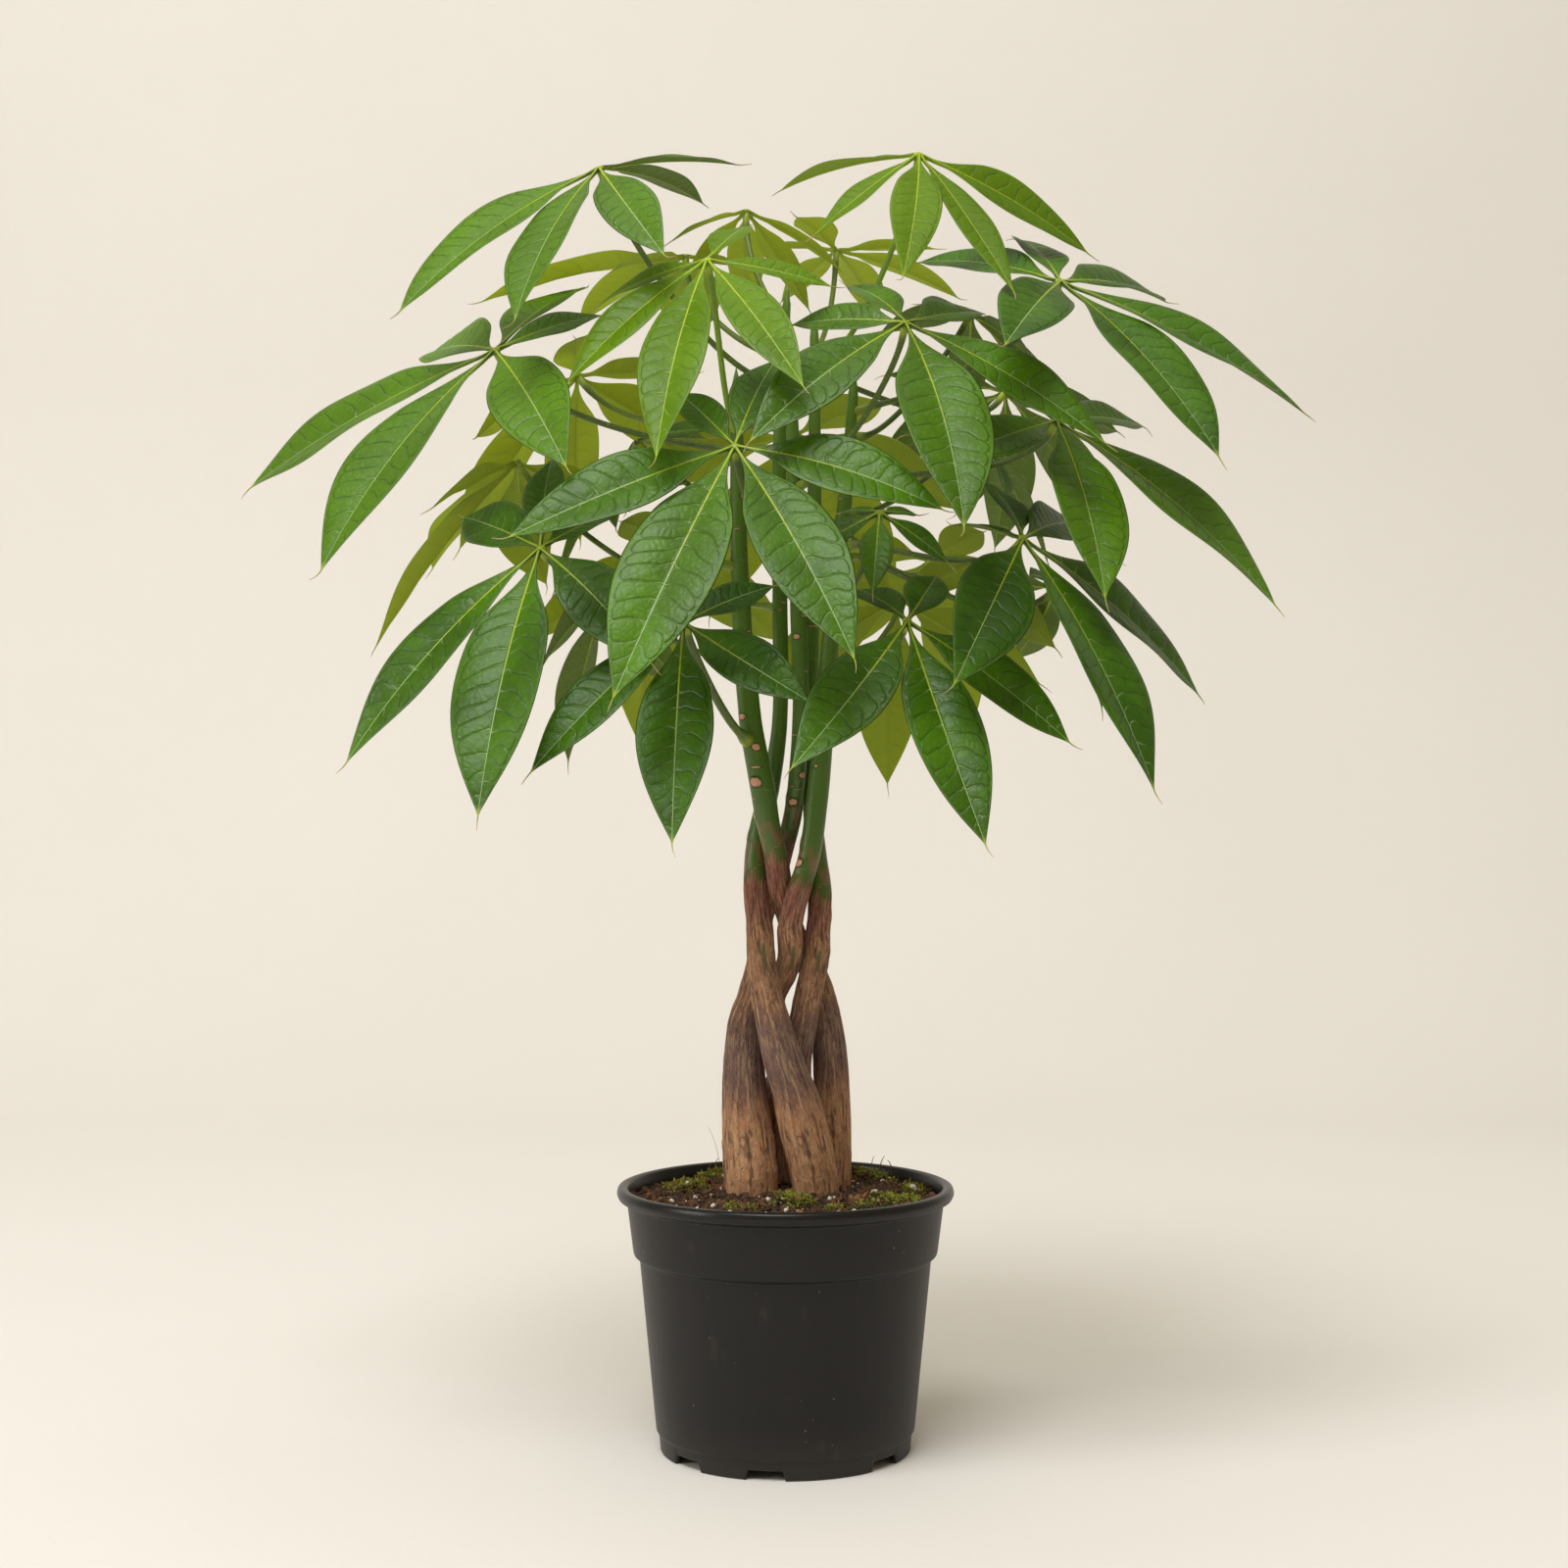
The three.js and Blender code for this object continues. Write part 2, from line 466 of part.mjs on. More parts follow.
function makeLeaves() {
  [...MEASURED, ...FANNED].forEach((row, i) => {
    const hub = place(row.hub);
    const tips = row.tips ? row.tips.map(place) : fannedTips(row, hub, i);
    const leaflets = tips.map((tip, k) => {
      const [, , , width = 1, turn = 0] = row.tips?.[k] ?? [];
      return { rib: tip.sub(hub), width, turn };
    });
    const name = `leaf_${String(i + 1).padStart(2, '0')}`;
    addPart(name, leafGeometry({ ...row, hub, leaflets }, i), row.young ? COLOURS.youngLeaf : COLOURS.leaf, 0.45);
  });
}

makeLeaves();
addPart('pot', makePot(), COLOURS.pot, 0.5);
addPart('soil', makeSoil(), COLOURS.soil, 1);
for (const [name, rows] of Object.entries(TRUNKS)) {
  addPart(name, trunkGeometry(rows), COLOURS.trunk, 0.9);
}

export default part;
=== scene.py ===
# Looks of a potted money tree: quilted leaves on green stems, five plaited trunks with cork
# and leaf scars, mossy soil and a black nursery pot, in a pale studio.
# The tables that repeat the model's are in millimetres; meshes are written in metres.
import math

import bpy
import numpy as np
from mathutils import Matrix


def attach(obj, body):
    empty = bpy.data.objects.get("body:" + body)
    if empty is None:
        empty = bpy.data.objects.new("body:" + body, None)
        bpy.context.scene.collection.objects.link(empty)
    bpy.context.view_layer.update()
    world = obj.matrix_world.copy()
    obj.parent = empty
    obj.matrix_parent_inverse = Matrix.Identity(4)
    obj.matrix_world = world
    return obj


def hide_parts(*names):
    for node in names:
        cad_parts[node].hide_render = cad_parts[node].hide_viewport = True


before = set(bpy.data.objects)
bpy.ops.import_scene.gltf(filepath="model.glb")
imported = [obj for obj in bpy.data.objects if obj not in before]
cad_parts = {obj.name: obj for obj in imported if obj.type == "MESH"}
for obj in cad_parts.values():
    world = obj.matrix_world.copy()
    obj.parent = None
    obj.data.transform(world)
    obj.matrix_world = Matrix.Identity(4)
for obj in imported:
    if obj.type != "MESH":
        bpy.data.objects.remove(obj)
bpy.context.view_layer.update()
print("frame loaded:", len(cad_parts), "nodes")

mm = 0.001
up = np.array([0.0, 0.0, 1.0])
front = np.array([0.0, -1.0, 0.0])


# Camera and studio

studio = {
    "eye": (-0.00075, -1.25, 0.338),
    "lens": 56.25,
    "sensor": 36,
    "farthest": 50,
    "floorFront": -5.0,
    "wallDistance": 2.1,
    "wallBend": 0.9,
    "halfWidth": 4.0,
    "wallHeight": 2.1,
    "world": 0.37,
    "worldColour": (1.0, 0.86, 0.64),
    "lights": [
        # name, place, aimed at, size, watts, colour
        ("keyLight", (-0.66, -1.84, 3.45), (0.05, 0.05, 0.35), 1.9, 98, (0.98, 0.985, 1.0)),
        ("leftLight", (-3.0, -1.3, 1.35), (0.0, 0.1, 0.25), 1.2, 32, (1.0, 0.985, 0.97)),
        ("topLight", (-0.2, 0.0, 4.2), (0.0, 0.1, 0.0), 4.0, 37, (1.0, 0.985, 0.96)),
    ],
}


def linked(name, data):
    made = bpy.data.objects.new(name, data)
    bpy.context.scene.collection.objects.link(made)
    return made


def makeCamera():
    view = bpy.data.cameras.new("camera")
    view.lens, view.sensor_width, view.clip_end = studio["lens"], studio["sensor"], studio["farthest"]
    camera = linked("camera", view)
    camera.location = studio["eye"]
    camera.rotation_euler = (math.pi / 2, 0, 0)
    bpy.context.scene.camera = camera


def makeLights():
    for name, place, target, size, watts, colour in studio["lights"]:
        lamp = bpy.data.lights.new(name, "AREA")
        lamp.size, lamp.energy, lamp.color = size, watts, colour
        holder = linked(name, lamp)
        holder.location = place
        aim = np.array(target) - np.array(place)
        flat = math.hypot(aim[0], aim[1])
        holder.rotation_euler = (math.atan2(flat, -aim[2]), 0, math.atan2(aim[0], -aim[1]) + math.pi)
    world = bpy.data.worlds.new("studioAir")
    world.use_nodes = True
    air = world.node_tree.nodes["Background"]
    air.inputs["Color"].default_value = (*studio["worldColour"], 1)
    air.inputs["Strength"].default_value = studio["world"]
    bpy.context.scene.world = world
    bpy.context.scene.view_settings.view_transform = "Standard"


makeCamera()
makeLights()
print("camera and lights ready")


# Shader maths: a wire is one output socket, and a sheet is the node tree of one material

class Wire:
    def __init__(self, sheet, socket):
        self.sheet = sheet
        self.socket = socket

    def maths(self, operation, *others):
        return self.sheet.node("Math", {"operation": operation}, [self, *others])

    def __add__(self, other):
        return self.maths("ADD", other)

    __radd__ = __add__

    def __sub__(self, other):
        return self.maths("SUBTRACT", other)

    def __rsub__(self, other):
        return self.sheet.node("Math", {"operation": "SUBTRACT"}, [other, self])

    def __mul__(self, other):
        return self.maths("MULTIPLY", other)

    __rmul__ = __mul__

    def __truediv__(self, other):
        return self.maths("DIVIDE", other)

    def __pow__(self, other):
        return self.maths("POWER", other)

    def __abs__(self):
        return self.maths("ABSOLUTE")

    def fract(self):
        return self.maths("FRACT")

    def most(self, other):
        return self.maths("MAXIMUM", other)

    def rise(self, low, high):  # 0 below low, 1 above high, an even S between them
        settings = {"interpolation_type": "SMOOTHSTEP"}
        return self.sheet.node("MapRange", settings, {"Value": self, "From Min": low, "From Max": high})


class Sheet:
    def __init__(self, name):
        self.material = bpy.data.materials.new(name)
        self.material.use_nodes = True
        self.tree = self.material.node_tree
        self.tree.nodes.clear()

    def node(self, kind, settings=None, inputs=None, output=0):
        made = self.tree.nodes.new("ShaderNode" + kind)
        for key, value in (settings or {}).items():
            if key == "stops":
                self.fillRamp(made.color_ramp, value)
            else:
                setattr(made, key, value)
        pairs = enumerate(inputs) if isinstance(inputs, list) else (inputs or {}).items()
        for key, value in pairs:
            if isinstance(value, Wire):
                self.tree.links.new(value.socket, made.inputs[key])
            else:
                made.inputs[key].default_value = value
        return Wire(self, made.outputs[output]) if made.outputs else made

    def fillRamp(self, ramp, stops):
        while len(ramp.elements) < len(stops):
            ramp.elements.new(1.0)
        for element, (position, colour) in zip(ramp.elements, stops):
            element.position = position
            element.color = colour

    def attribute(self, name):
        return self.node("Attribute", {"attribute_name": name}, output="Vector")

    def place(self):
        return self.node("TexCoord", output="Object")

    def split(self, vector):
        first = self.node("SeparateXYZ", inputs=[vector])
        return [Wire(self, socket) for socket in first.socket.node.outputs]

    def stretched(self, vector, scale):  # a tuple is a scale of its own along each axis
        if isinstance(scale, tuple):
            return self.node("VectorMath", {"operation": "MULTIPLY"}, [vector, scale]), 1.0
        return vector, scale

    def noise(self, vector, scale, detail=3.0, roughness=0.55, distortion=0.0):
        vector, scale = self.stretched(vector, scale)
        wanted = {"Vector": vector, "Scale": scale, "Detail": detail, "Roughness": roughness,
                  "Distortion": distortion}
        return self.node("TexNoise", inputs=wanted)

    def cells(self, vector, scale, feature="DISTANCE_TO_EDGE"):
        vector, scale = self.stretched(vector, scale)
        return self.node("TexVoronoi", {"feature": feature}, {"Vector": vector, "Scale": scale}, "Distance")

    def blend(self, share, first, second):
        return self.node("Mix", {"data_type": "RGBA"}, {0: share, 6: first, 7: second}, 2)

    def coats(self, colour, *layers):  # each layer is a share and the colour that it brings
        for share, tone in layers:
            colour = self.blend(share, colour, tone)
        return colour

    def bump(self, height, distance):
        return self.node("Bump", inputs={"Height": height, "Distance": distance, "Strength": 1.0})

    def skin(self, colour, roughness, normal=None, **others):
        wanted = {"Base Color": colour, "Roughness": roughness}
        if normal is not None:
            wanted["Normal"] = normal
        wanted.update({key.replace("_", " "): value for key, value in others.items()})
        return self.node("BsdfPrincipled", inputs=wanted)

    def finish(self, surface):
        self.node("OutputMaterial", inputs={"Surface": surface})
        return self.material


def paint(red, green, blue):  # a display colour from 0 to 255 as the linear colour of a shader
    share = np.array([red, green, blue]) / 255
    linear = np.where(share <= 0.04045, share / 12.92, ((share + 0.055) / 1.055) ** 2.4)
    return (*linear.tolist(), 1.0)


# Meshes: a shell is a closed surface on a grid, in millimetres, with its own point data

def unit(vectors):
    return vectors / np.linalg.norm(vectors, axis=-1, keepdims=True)


def smooth(x, low, high):  # 0 below low, 1 above high, an even S between them
    t = np.clip((x - low) / (high - low), 0, 1)
    return t * t * (3 - 2 * t)


def dotted(a, b):  # scalar products along the last axis, kept as a column
    return np.sum(a * b, axis=-1, keepdims=True)


def fullTurn(count):  # angles of the points of a closed ring
    return np.linspace(0, 2 * math.pi, count, endpoint=False)


def together(*parts):  # the parts as the columns of one array
    return np.stack(np.broadcast_arrays(*parts), -1)


def parabola(first, pull, last, t):  # from first to last, drawn towards the pull
    return (1 - t) ** 2 * first + 2 * t * (1 - t) * pull + t ** 2 * last


def latticeValue(i, j, k, seed):  # a fixed value from 0 to 1 for three whole numbers
    x = np.sin(i * 127.1 + j * 311.7 + k * 74.7 + seed * 53.3) * 43758.5453
    return x - np.floor(x)


def grain(x, y, z, seed=0):  # smooth noise from 0 to 1: lattice values eased between the corners
    x, y, z = np.broadcast_arrays(np.asarray(x, float), y, z)
    i, j, k = np.floor(x), np.floor(y), np.floor(z)
    a, b, c = (t * t * (3 - 2 * t) for t in (x - i, y - j, z - k))
    total = np.zeros_like(x)
    for di, dj, dk in np.ndindex(2, 2, 2):
        share = (a if di else 1 - a) * (b if dj else 1 - b) * (c if dk else 1 - c)
        total += share * latticeValue(i + di, j + dj, k + dk, seed)
    return total


def roughness(x, y, z, seed=0, octaves=3):  # noise summed over finer and finer grains, 0 to 1
    total, weight, reach = 0, 0, 1.0
    for octave in range(octaves):
        total = total + reach * grain(x * 2 ** octave, y * 2 ** octave, z * 2 ** octave, seed + octave)
        weight += reach
        reach *= 0.5
    return total / weight


def ringShell(rings, start, end, data=None, slots=0):
    # rows of rings, each wrapped round, with one point to close each end; the direction round
    # a ring, crossed with the direction from ring to ring, points out of the surface
    rows, columns = rings.shape[:2]
    first = np.arange(columns)
    following = (first + 1) % columns
    base = np.arange(rows - 1)[:, None] * columns
    quads = np.stack([base + first, base + following, base + columns + following,
                      base + columns + first], -1).reshape(-1, 4)
    top = (rows - 1) * columns
    startPoint, endPoint = rows * columns, rows * columns + 1
    startFan = np.stack([np.full(columns, startPoint), following, first], -1)
    endFan = np.stack([np.full(columns, endPoint), top + first, top + following], -1)
    quadSlots = np.tile(np.broadcast_to(slots, columns), rows - 1)
    fanSlots = np.tile(np.broadcast_to(slots, columns), 2)
    closed = {}
    for name, values in (data or {}).items():
        values = np.broadcast_to(values, (rows, columns, 3))
        ends = [values[0].mean(0), values[-1].mean(0)]
        closed[name] = np.concatenate([values.reshape(-1, 3), ends])
    return {"points": np.concatenate([rings.reshape(-1, 3), [start], [end]]), "quads": quads,
            "tris": np.concatenate([startFan, endFan]), "quadSlots": quadSlots,
            "triSlots": fanSlots, "data": closed}


def bunch(points, tris, data=None):
    # many copies of one small shape: points is copies x corners x 3, and data one row a copy
    copies, corners = points.shape[:2]
    faces = (np.arange(copies)[:, None, None] * corners + tris).reshape(-1, 3)
    spread = {name: np.repeat(values, corners, axis=0) for name, values in (data or {}).items()}
    return {"points": points.reshape(-1, 3), "quads": np.zeros((0, 4), int), "tris": faces,
            "quadSlots": np.zeros(0, int), "triSlots": np.zeros(len(faces), int), "data": spread}


def makePiece(name, shells, materials, replaces=None, flat=False):
    starts = np.cumsum([0] + [len(shell["points"]) for shell in shells])
    points = np.concatenate([shell["points"] for shell in shells]) * mm
    faces = [face for key in ("quads", "tris") for shell, at in zip(shells, starts)
             for face in (shell[key] + at).tolist()]
    mesh = bpy.data.meshes.new(name)
    mesh.from_pydata(points.tolist(), [], faces)
    slots = [shell["quadSlots"] for shell in shells] + [shell["triSlots"] for shell in shells]
    mesh.polygons.foreach_set("material_index", np.concatenate(slots).astype(np.int32))
    mesh.polygons.foreach_set("use_smooth", np.full(len(faces), not flat))
    for key in shells[0]["data"]:
        values = np.concatenate([shell["data"][key] for shell in shells]).astype(np.float32)
        mesh.attributes.new(key, "FLOAT_VECTOR", "POINT").data.foreach_set("vector", values.ravel())
    for material in materials:
        mesh.materials.append(material)
    mesh.update()
    piece = linked(name, mesh)
    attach(piece, "root")
    if replaces:
        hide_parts(replaces)
    return piece


# Backdrop: one sheet of paper, flat under the pot and bent up behind it

def paperFinish():
    sheet = Sheet("backdropPaper")
    mottle = sheet.noise(sheet.place(), 3.0, 4.0)
    colour = sheet.blend(mottle, paint(228, 225, 219), paint(232, 229, 223))
    normal = sheet.bump(sheet.noise(sheet.place(), 160.0, 2.0), 0.0002)
    return sheet.finish(sheet.skin(colour, 0.9, normal))


def makeBackdrop():
    # the profile runs back along the floor, round a quarter circle and up the wall
    bend, wall, side = studio["wallBend"], studio["wallDistance"], studio["halfWidth"]
    turn = np.linspace(0, math.pi / 2, 40)
    back = np.concatenate([[studio["floorFront"]], wall - bend + bend * np.sin(turn), [wall]])
    height = np.concatenate([[0.0], bend - bend * np.cos(turn), [studio["wallHeight"]]])
    x, y = np.meshgrid(np.linspace(-side, side, 9), back)
    z = np.broadcast_to(height[:, None], x.shape)
    rows, columns = x.shape
    corner = np.arange(rows - 1)[:, None] * columns + np.arange(columns - 1)
    quads = np.stack([corner, corner + 1, corner + columns + 1, corner + columns], -1).reshape(-1, 4)
    mesh = bpy.data.meshes.new("backdrop")
    mesh.from_pydata(together(x, y, z).reshape(-1, 3).tolist(), [], quads.tolist())
    mesh.polygons.foreach_set("use_smooth", np.ones(len(quads), bool))
    mesh.materials.append(paperFinish())
    sheet = linked("backdrop", mesh)


makeBackdrop()
print("backdrop made")


# Pot

pot = {
    # outer profile from the dish in the underside up to the lip, as [radius, height]
    "outside": [[3, 0], [21, 0], [24, 6.5], [60.6, 6.5], [61.8, 0], [63.6, 0], [64.5, 9.5],
                [65.8, 10.3], [74.3, 97.6], [77.2, 99.4], [77.6, 101.5], [80.7, 126],
                [84.8, 127.4], [86, 130.2], [85.2, 133.2], [83, 134]],
    "inside": [[80.4, 133.2], [79, 128.5], [75.9, 103.5], [72.7, 98.4], [64.2, 11.5], [62.6, 8.5],
               [24, 8.5], [20, 2], [3, 2]],
    "corner": 1.1,
    "segments": 160,
    "notches": [-50, -9, 51, 92, 152, 193, 253],
    # the feet reach up to this height on the wall, and the raised floor begins at the other
    "footTop": 9.5,
    "floorHeight": 6.5,
    "footRadius": 62.7,
    "notchHeight": 4.8,
    "notchWidth": 15.4,
    "notchSlope": 1.5,
    "drainRadius": 4,
    "drainCircle": 50,
    "drainHeights": [4.0, 12.0],
    "drainSides": 24,
}


def roundedProfile(points, cut, steps=5):
    # every inner corner becomes a small parabola that starts and ends a cut away from it
    points = np.array(points, float)
    line = [points[:1]]
    t = np.linspace(0, 1, steps)[:, None]
    for before, corner, after in zip(points, points[1:], points[2:]):
        back, on = before - corner, after - corner
        a = corner + back * min(0.45, cut / np.linalg.norm(back))
        b = corner + on * min(0.45, cut / np.linalg.norm(on))
        line.append(parabola(a, corner, b, t))
    line.append(points[-1:])
    line = np.concatenate(line)
    gaps = np.linalg.norm(np.diff(line, axis=0), axis=1)
    at = np.concatenate([[0], np.cumsum(gaps)])
    fill = np.arange(0, at[-1], 4.0)
    where = np.unique(np.concatenate([at, fill[np.min(np.abs(fill[:, None] - at), axis=1) > 1.2]]))
    return np.stack([np.interp(where, at, line[:, 0]), np.interp(where, at, line[:, 1])], -1)


def potFinish():
    sheet = Sheet("potPlastic")
    place = sheet.place()
    _, _, z = sheet.split(place)
    cloud = sheet.noise(place, 9.0, 4.0)
    streaks = sheet.noise(place, (60, 60, 5))
    specks = 1 - sheet.cells(place, 210.0, "F1").rise(0.02, 0.11)
    dust = specks * sheet.noise(place, 40.0, 2.0).rise(0.55, 0.66)
    scuffs = sheet.noise(place, (90, 90, 40), 5.0).rise(0.62, 0.76)
    lowDust = (1 - z.rise(0.002, 0.03)) * cloud
    colour = sheet.coats(
        paint(15, 14, 14),
        (cloud, paint(23, 21, 20)),
        (streaks * 0.3, paint(32, 30, 28)),
        (scuffs * 0.12 + lowDust * 0.2, paint(92, 86, 76)),
        (dust * 0.8, paint(150, 142, 128)))
    finish = 0.38 + 0.14 * cloud + 0.1 * scuffs - 0.12 * z.rise(0.126, 0.131)
    normal = sheet.bump(sheet.noise(place, 900.0, 2.0) * 0.5 + streaks, 0.00012)
    return sheet.finish(sheet.skin(colour, finish, normal, Specular_IOR_Level=0.3))


def makePot():
    # a lathe: every profile point goes round the axis, and near the floor its height is lifted
    # by a flat-topped wave of the angle, which leaves the notches of the foot
    profile = roundedProfile(pot["outside"] + pot["inside"], pot["corner"])
    edge = pot["notchWidth"] / 2
    turns = [np.arange(pot["segments"]) * 360 / pot["segments"]]
    for notch in pot["notches"]:
        sides = np.array([-edge - pot["notchSlope"], -edge, edge, edge + pot["notchSlope"]])
        turns.append((notch + sides) % 360)
    degrees = np.unique(np.round(np.concatenate(turns), 3))
    off = np.abs((degrees[:, None] - np.array(pot["notches"]) + 180) % 360 - 180).min(1)
    lift = pot["notchHeight"] * (1 - np.clip((off - edge) / pot["notchSlope"], 0, 1))
    radius, height = profile[:, :1], profile[:, 1:]
    share = np.where(radius > pot["footRadius"], pot["footTop"], pot["floorHeight"])
    near = (height < share) & (radius > 60)
    height = np.where(near, lift + height * (1 - lift / share), height)
    angle = np.radians(degrees)
    rings = together(radius * np.sin(angle), -radius * np.cos(angle), height)
    shell = ringShell(rings, [0, 0, profile[0, 1]], [0, 0, profile[-1, 1]])
    piece = makePiece("pot_body", [shell], [potFinish()], "pot")
    cutDrains(piece)


def cutDrains(piece):
    turn = fullTurn(pot["drainSides"])
    wall = pot["drainRadius"] * together(np.cos(turn), np.sin(turn), 0)
    low, high = pot["drainHeights"]
    shells = []
    for notch in pot["notches"]:
        angle = math.radians(notch)
        middle = pot["drainCircle"] * np.array([math.sin(angle), -math.cos(angle), 0])
        rings = middle + wall + np.array([low, high])[:, None, None] * up
        shells.append(ringShell(rings, middle + low * up, middle + high * up))
    cutter = makePiece("drain_cutter", shells, [])
    modifier = piece.modifiers.new("drains", "BOOLEAN")
    modifier.object, modifier.operation, modifier.solver = cutter, "DIFFERENCE", "EXACT"
    graph = bpy.context.evaluated_depsgraph_get()
    cut = bpy.data.meshes.new_from_object(piece.evaluated_get(graph))
    piece.modifiers.clear()
    piece.data = cut
    bpy.data.objects.remove(cutter)


makePot()
print("pot made")


# Trunks

trunkRows = {  # height, across, depth, radius
    "trunk_1": [
        [88, 17, -8, 9], [131, 15.6, -10, 11.4], [164, 9, -15, 12.4], [182, 4.8, -17.5, 11.8],
        [199, -1, -19, 10.6], [216, -5.4, -18.3, 9.2], [233, -9.6, -16.5, 8], [250, -12.2, -12, 7.2],
        [267, -13.3, -6.5, 6.7], [276, -14.3, -2.5, 6.5], [285, -15, 0.5, 6.3], [302, -14.8, 3, 5.9],
        [319, -12.2, 5.5, 5.4], [336, -8, 6, 4.9], [371, -3, 7, 4], [440, -3, 9, 3.8], [520, -3, 12, 3.4],
        [592, 1, 13, 2]],
    "trunk_2": [
        [88, 25, 14, 8], [131, 24, 15, 9.8], [164, 24.2, 14, 9.6], [199, 22.8, 12, 9],
        [233, 17, 12.8, 7.7], [250, 10, 13, 7.1], [258, 5.7, 10, 6.7], [267, 2.3, 4.5, 6.3],
        [276, -0.6, 0.8, 6.2], [285, -2.4, -2.5, 6.2], [302, -5, -8, 6.1], [319, -8.9, -9.5, 6.2],
        [336, -11.5, -10, 6.4], [371, -17.9, -9, 5.7], [440, -23, -9, 4.8], [545, -25, -7, 2.6]],
    "trunk_3": [
        [88, -18, -7, 10], [131, -17, -8, 13.2], [150, -18.2, -6, 13.6], [181, -20.8, 0, 11.6],
        [199, -21.4, 4.5, 10.1], [216, -20.6, 15, 8.9], [233, -16, 18, 7.6], [250, -13, 18, 6.4],
        [267, -12.4, 17.8, 6], [285, -6, 15.4, 5.7], [302, -1.5, 7.6, 5.1], [319, 3.1, 3.4, 4.9],
        [336, 5.4, -1, 4.6], [371, 7.8, -4, 4.2], [440, 6, -9, 4], [500, 4, -12, 3.5], [562, 2, -15, 2.4]],
    "trunk_4": [
        [88, -20, 21, 8.5], [131, -19, 22, 10.2], [164, -11, 22.5, 9.5], [182, -2.5, 21, 8.9],
        [191, -0.4, 18.6, 8.5], [199, -1.2, 15, 8], [207, -3.2, 10, 7.8], [216, -6, 5.2, 7.5],
        [227, -7.3, 1, 7.1], [233, -4.9, -0.5, 7], [239, -1.3, -2, 6.7], [250, 2.4, -5, 6.4],
        [267, 2.5, -10, 6.2], [285, 6.8, -11.6, 6.1], [302, 12, -11.5, 5.7], [336, 16.6, -10, 5.5],
        [371, 19.9, -9, 5.1], [440, 25, -6, 4.4], [490, 31, -2, 3.6], [545, 35, 0, 2.4]],
    "trunk_5": [
        [88, 3, 19, 8], [131, 3, 19, 9.7], [150, 3.4, 15.5, 9.2], [164, 4, 10, 8.9], [182, 4.6, 3.6, 8.4],
        [199, 5.6, -0.9, 7.9], [216, 8.8, -4.4, 7.5], [233, 12, -3.6, 7.2], [250, 15.5, -0.6, 6.9],
        [267, 16.9, 0, 6.3], [285, 17.4, 1, 5.9], [302, 15.6, 3, 5.5], [319, 14.2, 4.6, 5.1],
        [336, 13, 8, 4.9], [371, 12.6, 10, 4.4], [440, 14, 13, 4], [500, 15, 18, 3.5], [578, 15, 21, 2.2]],
}

trunk = {
    "sides": 62,
    "zones": [124, 240, 345],  # soil line, top of the wood, top of the bark
    "steps": [9, 1.4, 1.6, 4],  # between rings, under and between those heights
    "corkTop": {"trunk_1": 172, "trunk_2": 178, "trunk_3": 170, "trunk_4": 174, "trunk_5": 172},
    "greenFrom": {"trunk_1": 292, "trunk_2": 302, "trunk_3": 312, "trunk_4": 289, "trunk_5": 282},
    "corkDepth": 0.75,
    "barkDepth": 0.34,
    "stemDepth": 0.06,
    "scarPad": 0.45,
    "tipRise": 5,
    # leaf scars seen on the front: height, offset to the right as a share of the radius, size
    "scars": {
        "trunk_1": [],
        "trunk_2": [[372, -0.7, 0.95], [356.5, 0.1, 1.0], [338.8, -0.53, 1.4]],
        "trunk_3": [[342.4, 0.6, 0.9], [328.8, -0.2, 1.0]],
        "trunk_4": [[298.2, -0.8, 1.15], [347, -0.45, 0.5]],
        "trunk_5": [],
    },
    "scarSpacing": 27,
}


def curveAlong(rows, z, column):
    # smooth curve through the rows: cubic between two rows, with the slope at a row taken from
    # its two neighbours
    rows = np.array(rows, float)
    heights, values = rows[:, 0], rows[:, column]
    last = len(rows) - 1
    spots = np.arange(last + 1)
    before, after = np.maximum(spots - 1, 0), np.minimum(spots + 1, last)
    slopes = (values[after] - values[before]) / (heights[after] - heights[before])
    i = np.clip(np.searchsorted(heights, z, side="right") - 1, 0, last - 1)
    span = heights[i + 1] - heights[i]
    t = np.clip((z - heights[i]) / span, 0, 1)
    rise = t * t * (3 - 2 * t)
    bent = t * (1 - t) ** 2 * slopes[i] + t * t * (t - 1) * slopes[i + 1]
    return values[i] + rise * (values[i + 1] - values[i]) + span * bent


def middleAt(rows, z):  # across, depth and radius of a trunk at a height
    return [curveAlong(rows, z, column) for column in (1, 2, 3)]


def scarPlaces(name, rows):
    # the measured scars, and further up and round the back one every fixed step, each turned
    # 144 degrees from the last
    top = rows[-1][0]
    measured = [[z, -math.pi / 2 + math.asin(side), size] for z, side, size in trunk["scars"][name]]
    steps = np.arange(trunk["greenFrom"][name] - 10, top - 40, trunk["scarSpacing"])
    turned = [[z + 3 * math.sin(k * 2.1), 0.6 + k * 2.513, 0.9 + 0.2 * math.sin(k * 1.3)]
              for k, z in enumerate(steps)]
    apart = [spot for spot in turned if math.sin(spot[1]) > 0 or spot[0] > 395]
    return np.array(measured + apart)


